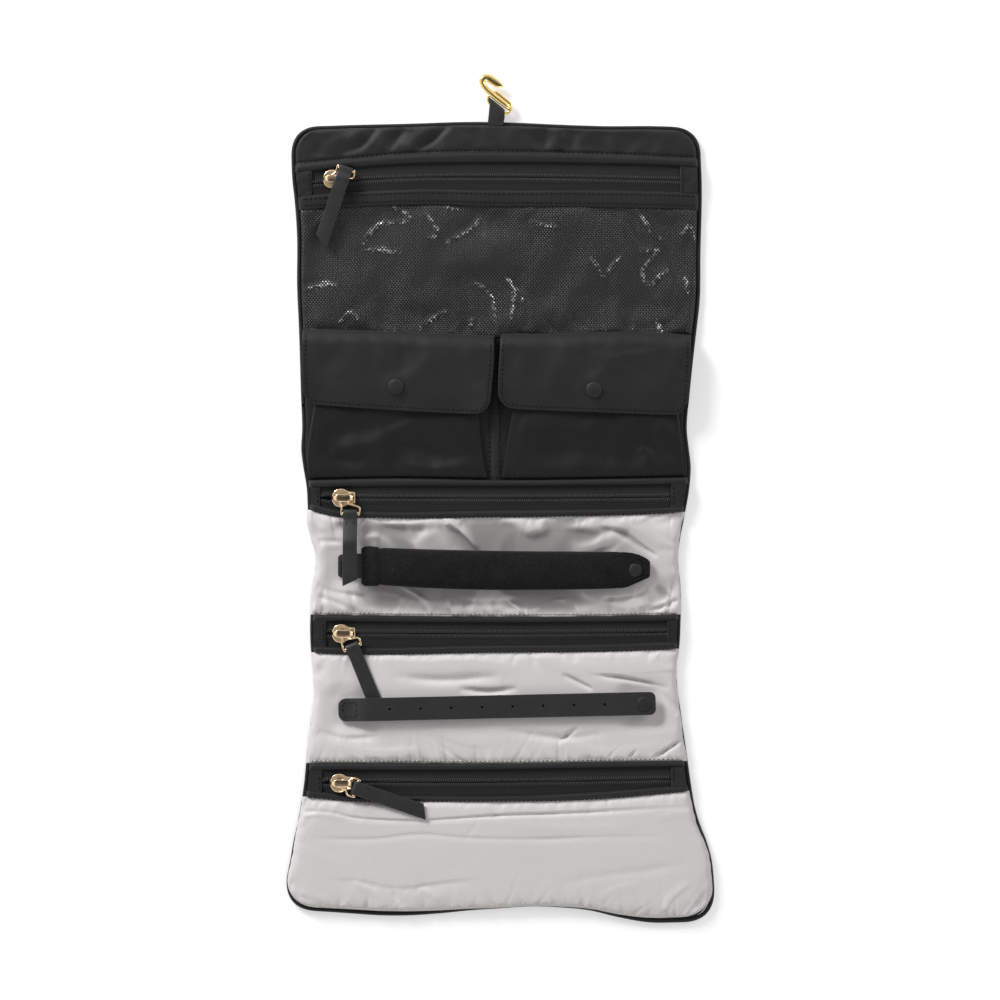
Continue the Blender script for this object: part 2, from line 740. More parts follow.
def outlined(name, outline, holes, bottom, thickness, material, bevel=0.25, cuts=0.0):
    """A flat piece of leather with softly rounded edges, cut across at steps so that it can be bent."""
    curve = bpy.data.curves.new(name, "CURVE")
    curve.dimensions = "2D"
    curve.fill_mode = "BOTH"
    curve.extrude = (thickness / 2 - bevel) * MM
    curve.bevel_depth = bevel * MM
    curve.bevel_resolution = 2
    curve.offset = -bevel * MM
    for points in (outline, *holes):
        spline = curve.splines.new("POLY")
        spline.points.add(len(points) - 1)
        spline.points.foreach_set("co", [c for p in points for c in (p[0] * MM, p[1] * MM, 0, 1)])
        spline.use_cyclic_u = True
    made = bpy.data.objects.new(name + "_curve", curve)
    bpy.context.scene.collection.objects.link(made)
    bpy.context.view_layer.update()
    mesh = bpy.data.meshes.new_from_object(made.evaluated_get(bpy.context.evaluated_depsgraph_get()))
    bpy.data.objects.remove(made)
    mesh.name = name
    work = bmesh.new()
    work.from_mesh(mesh)
    bmesh.ops.remove_doubles(work, verts=work.verts, dist=1e-6)
    bmesh.ops.recalc_face_normals(work, faces=work.faces)
    if cuts:
        low, high = min(p[0] for p in outline), max(p[0] for p in outline)
        for place in np.arange(low + cuts, high - cuts / 2, cuts):
            every = [*work.verts, *work.edges, *work.faces]
            bmesh.ops.bisect_plane(work, geom=every, plane_co=(place * MM, 0, 0), plane_no=(1, 0, 0))
    for vert in work.verts:
        vert.co.z += (bottom + thickness / 2) * MM
    work.to_mesh(mesh)
    work.free()
    mesh.materials.clear()
    mesh.materials.append(LOOKS[material])
    obj = bpy.data.objects.new(name, mesh)
    bpy.context.scene.collection.objects.link(obj)
    shade_by_angle(obj, 35)
    return obj


def shade_by_angle(obj, degrees):
    """Smooth faces with sharp edges where they meet at more than an angle."""
    mesh = obj.data
    mesh.polygons.foreach_set("use_smooth", [True] * len(mesh.polygons))
    mesh.set_sharp_from_angle(angle=math.radians(degrees))


def bent(obj, change):
    """Moves a mesh's points: change takes and gives arrays of x, y and z in millimetres."""
    flat = np.zeros(len(obj.data.vertices) * 3, np.float32)
    obj.data.vertices.foreach_get("co", flat)
    points = flat.reshape(-1, 3).astype(float) / MM
    moved = np.stack(change(*points.T), -1) * MM
    obj.data.vertices.foreach_set("co", moved.astype(np.float32).ravel())
    obj.data.update()
    return obj


def turned(obj, angle, x, y, z=0.0):
    """Turns a piece about its own origin and sets it in its place."""
    turn = Matrix.Rotation(math.radians(angle), 4, "Z")
    obj.data.transform(Matrix.Translation((x * MM, y * MM, z * MM)) @ turn)
    return obj


def finished(obj, body, slot, *nodes):
    """Rides on a body, or bends between two over a zone, stands for nodes and takes a slot's finish."""
    if isinstance(body, str):
        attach(obj, body)
    else:
        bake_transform(obj)
    if nodes:
        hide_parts(*nodes)
    return obj


# Outline of the open roll, from the photograph

left_edge = down(
    (155, 292), (178, 293), (196, 295), (232, 297.5), (286, 297.5), (322, 299), (394, 301), (430, 302),
    (448, 301), (466, 303), (484, 306), (520, 308.5), (538, 312), (556, 316.5), (574, 315.5), (592, 312.5),
    (628, 310), (646, 310.5), (682, 314), (700, 314.5), (718, 312), (754, 307.5), (790, 304), (826, 298),
    (844, 294), (862, 291), (880, 287.5), (898, 285.5), (916, 285),
)
right_edge = down(
    (155, 700), (178, 701), (250, 700), (304, 699), (322, 697), (358, 693), (394, 689.5), (430, 687),
    (448, 689), (466, 691), (484, 690), (520, 684), (538, 680.5), (556, 678.5), (592, 681), (628, 680.5),
    (646, 679.5), (664, 676.5), (682, 676.5), (718, 681), (754, 686), (790, 691), (808, 694), (826, 699),
    (844, 706), (862, 711), (880, 713), (898, 714), (916, 714),
)
top_edge = seam(
    (280, 126), (320, 125.5), (350, 124.5), (410, 123), (470, 121.2), (515, 122), (560, 124), (605, 125.5),
    (650, 125.5), (720, 128),
)
bottom_edge = seam(
    (280, 910), (320, 912), (350, 914), (380, 916), (410, 916), (440, 914), (470, 911), (500, 909),
    (535, 907), (560, 908), (590, 911), (620, 918), (650, 923), (680, 923), (720, 921),
)
HEAD_CORNER = 14.5
END_CORNER = 17.0
level = lambda height: (lambda x: np.asarray(x) * 0 + height)
above = lambda line, rise: (lambda x: line(x) + rise)


def corner_inset(distance, radius):
    d = np.clip(distance, 0, radius)
    return radius - np.sqrt(np.clip(radius**2 - (radius - d) ** 2, 0, None))


def patch(upper, lower, rows, columns, inset=0.0, sides=(left_edge, right_edge), corners=(0, 0), ragged=0.0):
    """A grid between two lines and the roll's sides. Corners round it off at its upper and lower ends."""
    t = spread(rows)[:, None]
    u = spread(columns, 0.3)[None, :]
    x = (u * 2 - 1) * 110 + 0 * t
    for _ in range(5):
        y = upper(x) + (lower(x) - upper(x)) * t
        trim = inset + 0 * y
        for line, radius, sign in ((upper, corners[0], 1), (lower, corners[1], -1)):
            if radius:
                trim = trim + corner_inset((line(x) - y) * sign, radius)
        waver = ragged * clouds(y * 0 + 7, y, 14, 5) if ragged else 0
        low = sides[0](y) + trim + waver
        high = sides[1](y) - trim + waver
        x = low + (high - low) * u
    return x, y, (x - low), (high - x), np.abs(upper(x) - y), np.abs(y - lower(x))


def creased(crease, gap, upper, lower, rows, columns, inset, corners, **options):
    """A patch whose rows lie along a crease, with none in the gap at it, so that it folds in one line."""
    count = round(rows * float((upper(0) - crease) / (upper(0) - lower(0))))
    options.update(columns=columns, inset=inset)
    first = patch(upper, level(crease + gap / 2), count, corners=(corners[0], 0), **options)
    second = patch(level(crease - gap / 2), lower, rows - count, corners=(0, corners[1]), **options)
    x, y, dl, dr = (np.vstack(pair) for pair in zip(first[:4], second[:4]))
    return x, y, dl, dr, np.abs(upper(x) - y), np.abs(y - lower(x))


# Zones where the cloth bends at the three folds, and the places where long pieces are split
FOLD_TOP = ("middle", "top", (0, 80.65, 0), (0, 116.0, 0))
FOLD_LOWER = ("middle", "lower", (0, -81.6, 0), (0, -81.7, 0))
FOLD_END = ("lower", "end_flap", (0, -199.3, 0), (0, -199.4, 0))
SPLIT_MIDDLE = 40.0
SPLIT_LOWER = -140.0
SHELL_TOP = 2.1
PIPING_RADIUS = 1.2
PIPING_LEVEL = 1.6
# How far two lengths of piping run into each other where they are split
PIPING_LAP = 2.0


def make_shell():
    upper, lower = above(top_edge, -PIPING_RADIUS), above(bottom_edge, PIPING_RADIUS)
    middle, split = level(SPLIT_MIDDLE), level(SPLIT_LOWER)
    parts = [
        ("shell_upper", upper, middle, (HEAD_CORNER, 0), FOLD_TOP, ["shell_top"], 80),
        ("shell_mid", middle, split, (0, 0), FOLD_LOWER, ["shell_middle"], 110),
        ("shell_end", split, lower, (0, END_CORNER), FOLD_END, ["shell_lower", "shell_flap"], 80),
    ]
    for name, upper, lower, corners, zone, nodes, rows in parts:
        plan = (upper, lower, rows, 110, PIPING_RADIUS)
        if zone is FOLD_TOP:
            x, y, dl, dr, _, _ = patch(*plan, corners=corners)
        else:
            crease = (zone[2][1] + zone[3][1]) / 2
            x, y, dl, dr, _, _ = creased(crease, 0.2, *plan, corners)
        edge = rounded(least(dl, dr) + 0.2, 2.2)
        creases = clouds(x, y, 34, 40) * 0.35 + clouds(x, y, 11, 44) * 0.12
        bottom = np.clip(0.35 + creases, 0.0, 0.8) + (1 - edge) * 0.9
        obj = slab(name, x, y, SHELL_TOP - (1 - edge) * 0.5, bottom, "nylon")
        shade_by_angle(obj, 50)
        finished(obj, zone, "nylon", *nodes)


def outline_points():
    """The roll's edge from the lower left corner up, across the top and down the right side."""
    ys = np.linspace(float(bottom_edge(-110)), float(top_edge(-110)), 260)
    left = np.stack([left_edge(ys), ys], -1)
    xs = np.linspace(left[-1, 0], float(right_edge(180)), 120)
    top = np.stack([xs, top_edge(xs)], -1)
    ys = np.linspace(top[-1, 1], float(bottom_edge(110)), 260)
    right = np.stack([right_edge(ys), ys], -1)
    xs = np.linspace(right[-1, 0], left[0, 0], 140)
    foot = np.stack([xs, bottom_edge(xs)], -1)
    sides = [left, top, right, foot]
    radii = [HEAD_CORNER, HEAD_CORNER, END_CORNER, END_CORNER]
    beyond = lambda line, corner, radius: np.linalg.norm(line - corner, axis=1) > radius
    out = []
    for i, side in enumerate(sides):
        run = side[beyond(side, side[0], radii[i - 1]) & beyond(side, side[-1], radii[i])]
        following = sides[(i + 1) % 4]
        start = following[beyond(following, following[0], radii[i])][0]
        out += [run, rounding(run[-1], side[-1], start, 14)]
    return resampled(np.concatenate(out), 2.0)


def make_piping():
    edge = outline_points()
    inward = edge.mean(0) - edge
    inward /= np.linalg.norm(inward, axis=1)[:, None]
    path = np.c_[edge + inward * PIPING_RADIUS, np.full(len(edge), PIPING_LEVEL)]
    x, y = path[:, 0], path[:, 1]
    between = (y < SPLIT_MIDDLE + PIPING_LAP) & (y > SPLIT_LOWER - PIPING_LAP)
    below = path[y <= SPLIT_LOWER + PIPING_LAP]
    start = int(np.argmax(np.linalg.norm(np.diff(below, axis=0), axis=1))) + 1
    runs = [
        ("upper", path[y >= SPLIT_MIDDLE - PIPING_LAP], FOLD_TOP, ["top"]),
        ("left", path[between & (x < 0)], FOLD_LOWER, ["middle_left"]),
        ("right", path[between & (x > 0)], FOLD_LOWER, ["middle_right"]),
        ("end", np.roll(below, -start, 0), FOLD_END, ["lower_left", "lower_right", "flap"]),
    ]
    for name, run, zone, nodes in runs:
        obj = lofted(f"piping_{name}", tube_rings(run, PIPING_RADIUS), "nylon")
        finished(obj, zone, "nylon", *(f"piping_{node}" for node in nodes))


make_shell()
make_piping()

# Lines of the rows, from the photograph

HEADER_STITCH = seam(
    (285, 167), (299, 165), (340, 160.5), (395, 155.5), (491, 152.3), (543, 153.4), (675, 158), (710, 160)
)
ZIP_UPPER = [
    seam((285, 173), (340, 168.5), (395, 164.4), (491, 162.5), (600, 163.5), (675, 165.5), (710, 168)),
    seam((290, 488), (397, 486), (500, 486), (660, 484.5), (700, 484)),
    seam((290, 621), (376, 622), (491, 622.5), (600, 622), (700, 620)),
    seam((290, 769.6), (395, 770.3), (491, 769.5), (598, 767.7), (682, 766.3), (705, 766)),
]
ZIP_LOWER = [
    seam((285, 197), (354, 191.8), (422, 189), (491, 190), (600, 190), (675, 191.7), (710, 193)),
    seam(
        (290, 502), (313, 504.2), (332, 509.5), (376, 511.9), (491, 510.6), (600, 509.5), (660, 508),
        (700, 505),
    ),
    seam((290, 645), (340, 647.5), (491, 645.5), (600, 644.5), (700, 641)),
    seam(
        (290, 789), (307, 790), (345, 795.7), (422, 796.3), (500, 796.7), (598, 792.3), (682, 786), (705, 785)
    ),
]
CHAIN = [
    seam((290, 186), (354, 180.6), (422, 177.6), (491, 177), (600, 178.5), (705, 181)),
    seam((290, 498), (364, 498), (491, 498.5), (705, 497)),
    seam((290, 633.5), (364, 633.5), (491, 634), (705, 632)),
    seam((290, 783), (367, 782.5), (491, 782.5), (600, 781), (705, 779)),
]
WINDOW_TOP = seam((285, 210), (354, 206), (422, 203.8), (491, 205.5), (600, 206.5), (675, 208), (710, 209))
FLAP_SEAM = seam((285, 333), (400, 333.5), (500, 334), (600, 332), (710, 331))
POCKET_STITCH = seam((290, 479.5), (397, 477.3), (500, 479), (600, 478), (700, 476))
GREY_1 = (
    seam(
        (290, 509), (310, 510), (332, 515.2), (376, 517.2), (491, 516.7), (600, 515), (660, 513), (700, 511)
    ),
    seam((290, 614.5), (376, 615.8), (491, 616.8), (600, 616.5), (700, 614)),
)
GREY_2 = (
    seam((290, 651.5), (340, 653.5), (491, 652), (600, 651), (700, 648)),
    seam((290, 763.4), (395, 763.4), (491, 764), (598, 762.5), (682, 761.4), (705, 761)),
)
# How far the flap's lining stays inside its lower edge
FLAP_HEM = by_column(
    (285, 2.0), (330, 2.4), (400, 2.7), (445, 1.8), (480, 0.9), (580, 0.9), (620, 1.8), (655, 2.9),
    (690, 3.0), (715, 2.2),
)
GREY_3 = (
    seam(
        (290, 796.5), (306, 797), (354, 801), (422, 801), (500, 801), (598, 798.6), (688, 790.9), (710, 789)
    ),
    lambda x: bottom_edge(x) + FLAP_HEM(x),
)


def shares(x, y, upper, lower):
    low, high = left_edge(y), right_edge(y)
    return (x - low) / (high - low), (upper(x) - y) / (upper(x) - lower(x))


# Level of the grey panels, how far their folds rise and sink, and the level of their seams
LINING_LEVEL = 4.6
LINING_RISE = 2.3
LINING_SINK = 2.0
SEAM_LEVEL = 3.3
# Level of the panels' outer edges, and where the flap's lining folds, with the gap between its rows there
LINING_EDGE = 1.9
LINING_CREASE = -199.05
LINING_CREASE_GAP = 2.0
# Places that pieces press flat on panels 1 and 2: left, right, top and bottom in the photograph
PRESSED = {1: [(338, 372, 553, 579), (374, 622, 552, 588)], 2: [(338, 366, 699, 723), (632, 655, 693, 717)]}
PRESSED_LEVEL = 4.9
PRESSED_SOFT = 11
FOLD_WIDTH = 0.72
FOLD_GAIN = {1: 1.8, 2: 2.5, 3: 1.5}
PUCKER_DEPTH = {1: 1.7, 2: 1.8, 3: 1.3}
# Folds of the grey panels: points of the photograph, width, height and lean
GREY_FOLDS = {
    1: [
        ([(442, 517), (452, 524), (466, 536), (478, 551)], 2.6, 2.6, -0.45),
        ([(452, 519), (446, 526)], 1.6, 1.0, 0),
        ([(362, 520), (385, 524), (410, 524), (440, 520)], 4.0, 1.2, 0.4),
        ([(360, 532), (400, 530), (445, 527)], 4.5, -1.3, 0),
        ([(362, 543), (368, 537), (380, 536)], 3.0, 1.0, 0),
        ([(318, 541), (345, 543)], 2.5, -0.9, 0),
        ([(318, 583), (330, 590), (350, 594), (400, 598)], 2.8, -1.2, 0.3),
        ([(317, 596), (340, 604), (356, 612)], 2.4, -0.8, 0),
        ([(400, 586), (420, 598), (431, 614)], 2.2, 1.4, -0.4),
        ([(372, 588), (410, 600), (450, 603)], 4.5, 1.0, 0.3),
        ([(455, 598), (480, 603), (520, 601), (560, 603)], 3.0, -1.2, 0.3),
        ([(500, 520), (540, 530), (600, 526), (650, 520)], 5.0, 1.0, 0),
        ([(520, 540), (560, 534), (600, 538)], 4.0, -0.9, 0),
        ([(640, 525), (660, 540), (676, 548)], 3.0, 1.2, 0.3),
        ([(655, 585), (668, 596), (676, 604)], 3.0, -1.0, 0.3),
        ([(580, 592), (620, 606), (650, 604)], 3.0, 1.0, -0.3),
        ([(600, 528.6), (622, 532), (640, 545), (658, 557)], 2.4, -1.8, 0.3),
        ([(600, 599), (622, 598), (640, 594), (647, 587.5)], 2.2, -1.4, 0.3),
        ([(650, 611), (664, 606), (678.6, 599)], 2.2, -1.3, 0.3),
        ([(620, 522), (642, 532), (664, 545)], 2.6, 1.4, 0.3),
        ([(505, 600), (516, 607), (522, 614)], 1.6, 1.3, -0.4),
        ([(532, 612), (545, 603), (566, 599)], 2.0, 1.1, 0.3),
    ],
    2: [
        ([(380, 655), (420, 664), (470, 662), (520, 668)], 4.5, 1.3, 0.3),
        ([(578, 670), (602, 674), (629, 679), (669, 688)], 2.2, -1.6, 0.3),
        ([(560, 668), (585, 668), (600, 672), (640, 671), (676, 669)], 2.4, 1.5, -0.4),
        ([(562, 673.5), (578, 681), (593, 689.6)], 2.0, -1.3, 0.3),
        ([(560, 740), (570, 732), (579.5, 725)], 2.0, -1.2, 0.3),
        ([(609, 757), (613, 752), (618, 748)], 1.3, -1.2, 0.3),
        ([(629, 757), (634, 752), (638, 748)], 1.3, -1.2, 0.3),
        ([(652, 758), (666, 750), (682, 739)], 1.6, -1.4, 0.3),
        ([(458, 689), (490, 692), (519, 688)], 3.0, -1.2, 0),
        ([(390, 676), (440, 680), (500, 676)], 4.5, -1.1, 0),
        ([(530, 655), (560, 668), (600, 672), (660, 664)], 4.0, 1.2, -0.3),
        ([(330, 660), (336, 680), (330, 700)], 3.5, 0.9, 0.3),
        ([(318, 730), (345, 738), (380, 736)], 3.5, -1.1, 0.3),
        ([(330, 745), (370, 752), (420, 750)], 3.5, 1.2, 0.3),
        ([(430, 728), (470, 742), (510, 740)], 4.0, 1.2, -0.3),
        ([(500, 728), (560, 738), (610, 732)], 4.0, -1.0, 0),
        ([(560, 742), (610, 752), (660, 744)], 3.5, 1.2, 0.3),
        ([(655, 690), (668, 700), (678, 716)], 3.5, -1.0, 0),
        ([(640, 720), (660, 730), (678, 732)], 3.0, 1.1, 0.3),
    ],
    3: [
        (
            [(303, 811), (330, 812), (360, 818), (420, 820), (500, 815), (560, 813), (640, 809), (692, 806)],
            1.6, -1.5, 0.5,
        ),
        ([(303, 816), (320, 814), (345, 818)], 1.8, 1.0, 0.3),
        (
            [(310, 838), (370, 839), (420, 834), (470, 838), (540, 839), (590, 837), (670, 836)],
            2.2, -0.9, 0.3,
        ),
        ([(480, 820), (465, 838)], 2.4, -0.6, 0),
        ([(500, 822), (540, 827), (600, 828), (640, 824)], 4.0, 0.8, 0.3),
        ([(655, 820), (672, 814), (690, 812)], 2.2, 1.3, 0.3),
        ([(330, 880), (360, 882), (400, 889), (440, 884), (480, 880)], 3.2, -0.9, 0.4),
        ([(352, 882), (375, 892), (386, 906)], 2.0, 1.5, 0.4),
        ([(392, 892), (404, 906)], 2.0, -1.1, 0),
        ([(420, 888), (440, 900)], 2.6, 1.0, 0),
        ([(300, 892), (330, 900)], 3.0, 0.9, 0),
        ([(600, 900), (612, 890), (640, 884)], 3.0, 1.0, 0.3),
        ([(664, 912), (672, 898), (690, 884)], 2.2, 1.7, -0.4),
        ([(560, 884), (600, 876), (650, 870), (690, 862)], 4.0, -0.7, 0),
        ([(300, 850), (330, 862), (345, 880)], 5.0, 0.7, 0),
    ],
}


def grey_relief(number, upper, lower, crushed):
    """Height of a grey panel: soft buckles, folds seen in the photograph and puckers at its seams."""
    depth = PUCKER_DEPTH[number]

    def value(x, y):
        height = 4.9 + crushed(*shares(x, y, upper, lower)) * 1.3 + clouds(x, y, 30, 60 + number) * 0.6
        height = height + ridges(x, y, GREY_FOLDS[number], FOLD_WIDTH, FOLD_GAIN[number])
        height = height + puckers(x, y, lower, 1, 70 + number, 5.0, 10, depth, 1.3)
        height = height + puckers(x, y, upper, -1, 80 + number, 5.5, 7, depth * 0.7, 1.3)
        if number == 1:
            height = height - 2.8 * np.exp(-((y + 54) / 19) ** 2 - ((x + 3) / 78) ** 6)
        over = height - LINING_LEVEL
        limit = np.where(over > 0, LINING_RISE, LINING_SINK)
        height = LINING_LEVEL + limit * np.tanh(over / limit)
        for left, right, top, bottom in PRESSED.get(number, ()):
            (low_x, high_y), (high_x, low_y) = at(left, top), at(right, bottom)
            beside = np.maximum(np.maximum(low_x - x, x - high_x), 0)
            beyond = np.maximum(np.maximum(low_y - y, y - high_y), 0)
            inside = 1 - smoothstep(np.hypot(beside, beyond), 0, PRESSED_SOFT)
            height = height + (np.minimum(height, PRESSED_LEVEL) - height) * inside
        held = rounded(np.abs(upper(x) - y) + 0.3, 4.5)
        held = held * rounded(np.abs(y - lower(x)) + 0.3, 4.5 if number < 3 else 3.0)
        return SEAM_LEVEL + (height - SEAM_LEVEL) * held

    return value


def make_grey():
    panels = [
        (1, *GREY_1, "middle", ["ring_panel"], 96, "shell_mid"),
        (2, *GREY_2, "lower", ["strap_panel"], 100, "shell_end"),
        (3, *GREY_3, FOLD_END, ["lining_strip", "flap_panel"], 104, "shell_end"),
    ]
    options = dict(sides=(above(left_edge, -1.3), above(right_edge, 0.5)), ragged=0.7)
    for number, upper, lower, body, nodes, rows, carrier in panels:
        sewn_all_round = number < 3
        crushed = crumple(214, 62 if sewn_all_round else 66, 20 + number, cap=2.2)
        relief = grey_relief(number, upper, lower, crushed)
        if sewn_all_round:
            x, y, dl, dr, du, dd = patch(upper, lower, rows, 320, 0.6, **options)
        else:
            plan = (upper, lower, rows, 320, 1.0, (0, END_CORNER))
            x, y, dl, dr, du, dd = creased(LINING_CREASE, LINING_CREASE_GAP, *plan, **options)
        top = LINING_EDGE + (relief(x, y) - LINING_EDGE) * rounded(least(dl, dr) + 0.15, 3.4)
        hollow = 0.5 * np.clip((LINING_LEVEL - top) / 1.6, 0, 1) * smoothstep(least(dl, dr, du, dd), 1, 6)
        if number == 1:
            under_bar = np.exp(-(((y + 50) / 24) ** 4) - ((x - 6) / 84) ** 6)
            hollow = hollow + 0.62 * under_bar * (0.75 + 0.25 * np.tanh(2 * clouds(x, y, 22, 66)))
        obj = slab(f"grey_lining_{number}", x, y, top, np.minimum(top - 0.35, 2.3), "lining")
        give(obj, "hollow", np.clip(hollow, 0, 1))
        finished(obj, body, "lining", *nodes)
        sew_grey(number, upper, lower, body, relief)


def sew_grey(number, upper, lower, body, relief):
    """A pale row of stitches at a panel's foot and a dark row at its head. Panels 1 and 2 show holes too."""
    rounded_foot = number == 3
    foot = (lower, 1.6 if rounded_foot else 1.3, 15 if rounded_foot else 3)
    for k, (line, away, margin) in enumerate((foot, (upper, -0.35, 3))):
        xs, ys = row_paths(line, away, margin, 300).T
        path = [np.c_[xs, ys, relief(xs, ys) + 0.05]]
        with_holes = k == 0 and not rounded_foot
        look = "thread" if k else "pale_thread"
        row = stitches(f"grey_{number}_stitches_{k}", path, look, 2.6, 1.6, 0.6 if with_holes else 0.4)
        finished(row, body, "lining")
        if with_holes:
            gaps = stitches(f"grey_{number}_stitch_holes", path, "thread", 2.6, 0.7, 0.45, 0)
            finished(gaps, body, "lining")


def row_paths(line, away, margin=3.5, count=320):
    """Points along a line and a little off it, between the sides of the roll."""
    xs = np.linspace(-112, 112, count)
    ys = line(xs) + away
    keep = (xs > left_edge(ys) + margin) & (xs < right_edge(ys) - margin)
    return np.c_[xs[keep], ys[keep]]


make_grey()

# Black rows: header, welts, bindings, zip tapes and chains


STRIP_BASE = 4.0


def make_strip(name, upper, lower, rise, body, node, seed, power=2.4, rows=11):
    """A rolled strip of cloth across the roll."""
    x, y, dl, dr, du, dd = patch(upper, lower, rows, 170, 1.4)
    t = du / np.maximum(du + dd, 1e-6)
    crown = (1 - np.abs(2 * t - 1) ** power) ** (1 / power)
    wobble = clouds(x, y * 0.4, 18, seed) * 0.18
    side = rounded(least(dl, dr) + 0.2, 2.4)
    top = STRIP_BASE + (rise + wobble) * crown * side + 0.3
    top = 2.2 + (top - 2.2) * np.maximum(side, 0.25)
    obj = slab(name, x, y, top, np.minimum(top - 0.3, STRIP_BASE), "nylon")
    return finished(obj, body, "nylon", node)


HEADER_FOLDS = [
    ([(377, 126), (362, 145), (340, 153)], 3.0, -1.6, 0.4),
    ([(366, 128), (350, 146)], 3.4, 1.3, 0.2),
    ([(407, 126), (387, 149)], 2.8, -1.5, 0.3),
    ([(396, 128), (376, 150)], 3.0, 1.2, 0.2),
    ([(449, 125), (432, 140), (416, 150)], 2.6, -1.7, 0.4),
    ([(436, 127), (406, 150)], 3.2, 1.3, 0.2),
    ([(540, 126), (548, 136), (540, 150)], 3.4, -1.3, 0.2),
    ([(566, 127), (574, 138), (566, 150)], 3.4, -1.2, 0.2),
    ([(556, 127), (560, 150)], 3.6, 1.1, 0.2),
    ([(620, 128), (612, 150)], 4.5, 0.7, 0),
    ([(320, 134), (318, 156)], 4.5, -0.8, 0),
]


def make_header():
    upper, lower = above(top_edge, -2.0), above(HEADER_STITCH, -1.4)
    crushed = crumple(228, 22, 31, cap=1.6)
    x, y, dl, dr, du, dd = patch(upper, lower, 34, 220, 1.9, corners=(HEAD_CORNER - 1, 0))
    height = 5.0 + crushed(*shares(x, y, upper, lower)) * 0.6 + clouds(x, y, 26, 90) * 0.3
    height = height + ridges(x, y, HEADER_FOLDS, 1.2, 1.2)
    height = height - 0.6 * np.exp(-((dd - 2.7) / 0.7) ** 2)
    edge = rounded(least(dl, dr, du) + 0.2, 2.2)
    held = rounded(dd + 0.6, 3.0)
    top = 2.2 + (4.2 + (height - 4.2) * held - 2.2) * edge
    obj = slab("header", x, y, top, np.minimum(top - 0.35, 2.4), "nylon")
    finished(obj, "top", "nylon", "header_panel")
    make_strip("header_roll", above(HEADER_STITCH, 0.4), ZIP_UPPER[0], 2.6, "top", "header_welt", 91)
    edges = (ZIP_LOWER[0], above(WINDOW_TOP, -0.6))
    band = make_strip("window_band", *edges, 1.7, "top", "window_welt", 92, 4.0, 15)
    paths = [
        laid(row_paths(HEADER_STITCH, 1.3), obj),
        laid(row_paths(ZIP_LOWER[0], -2.1), band),
        laid(row_paths(WINDOW_TOP, 1.9), band),
    ]
    finished(stitches("header_stitches", paths, width=0.85), "top", "nylon")


ZIP_BODIES = ["top", "middle", "lower", "lower"]
# Columns of the photograph between which the coils run
ZIP_SPAN = [(312, 680), (320, 671), (326, 667), (322, 671)]
# Where each zip stands open left of its slider: columns of the photograph and half the gap
ZIP_OPEN = [None, (320.5, 333, 1.5), (326, 334, 1.0), (322.5, 332, 1.0)]
TAPE_LEVEL = 4.9
COIL_PITCH = 1.3
COIL_WIRE = 0.42


def make_zips():
    for i, body in enumerate(ZIP_BODIES):
        number = i + 1
        x, y, _, _, _, _ = patch(above(ZIP_UPPER[i], 1.6), above(ZIP_LOWER[i], -1.6), 26, 170, 1.8)
        away = np.abs(y - CHAIN[i](x))
        top = TAPE_LEVEL - 0.5 * smoothstep(away, 1.5, 5) + clouds(x, y, 20, 100 + i) * 0.12
        top = top - 0.9 * np.exp(-((away / 0.4) ** 2))
        tape = slab(f"zip_{number}_tape", x, y, top, top - 0.7, "tape")
        finished(tape, body, "zip_tape", f"zip_{number}")
        low, high = (column_x(px) for px in ZIP_SPAN[i])
        part = make_opening(number, body) if ZIP_OPEN[i] else lambda x: 0 * x
        finished(coil_teeth(f"zip_{number}_coils", CHAIN[i], low, high, part), body, "zip_tape")
        make_end_tab(number, "left", low, body)
        make_end_tab(number, "right", high, body)
    binds = [
        ("zip_2_upper", above(POCKET_STITCH, -0.7), ZIP_UPPER[1], 2.6, "middle"),
        ("zip_2_lower", ZIP_LOWER[1], GREY_1[0], 2.2, "middle"),
        ("zip_3_upper", GREY_1[1], ZIP_UPPER[2], 2.3, "lower"),
        ("zip_3_lower", ZIP_LOWER[2], GREY_2[0], 2.2, "lower"),
        ("zip_4_upper", GREY_2[1], ZIP_UPPER[3], 2.3, "lower"),
        ("zip_4_lower", ZIP_LOWER[3], GREY_3[0], 2.2, "lower"),
    ]
    for k, (name, upper, lower, rise, body) in enumerate(binds):
        make_strip(f"{name}_roll", upper, lower, rise, body, f"{name}_binding", 110 + k)


def make_opening(number, body):
    """A dark gap where the zip has begun to open. Gives half the gap at each place."""
    left, right, gap = ZIP_OPEN[number - 1]
    low, high = column_x(left), column_x(right)

    def part(x):
        return gap * np.clip((x - low) / (high - low), 0, 1) ** 0.8 * (1 - smoothstep(x, high - 2.5, high))

    t = np.linspace(-1, 1, 7)[:, None]
    x = np.linspace(low, high, 24)[None, :] + 0 * t
    y = CHAIN[number - 1](x) - t * (part(x) + 0.05)
    top = TAPE_LEVEL + 0.12 - 0.1 * (1 - t**2) + 0 * x
    finished(slab(f"zip_{number}_opening", x, y, top, top - 0.5, "inside"), body, "zip_tape")
    return part


def coil_teeth(name, chain, low, high, part):
    """Two rows of rounded coil turns that meet along the chain, and stand apart where it is open."""
    bars = []
    places = np.arange(low + 0.6, high - 0.4, COIL_PITCH)
    for side in (1, -1):
        turn = -side * HEXAGON
        for x in places + (0 if side > 0 else COIL_PITCH / 2):
            middle, gap = float(chain(x)), float(part(x))
            bar = []
            for share, size in ((0.28, 0.5), (0.6, 1.0), (1.5, 1.0), (2.35, 0.55)):
                radius = COIL_WIRE * size
                y = np.full(6, middle + side * (share + gap))
                bar.append(np.c_[x + radius * np.cos(turn), y, TAPE_LEVEL - 0.12 + radius * np.sin(turn)])
            bars.append(bar)
    return beads(name, bars, "coil")


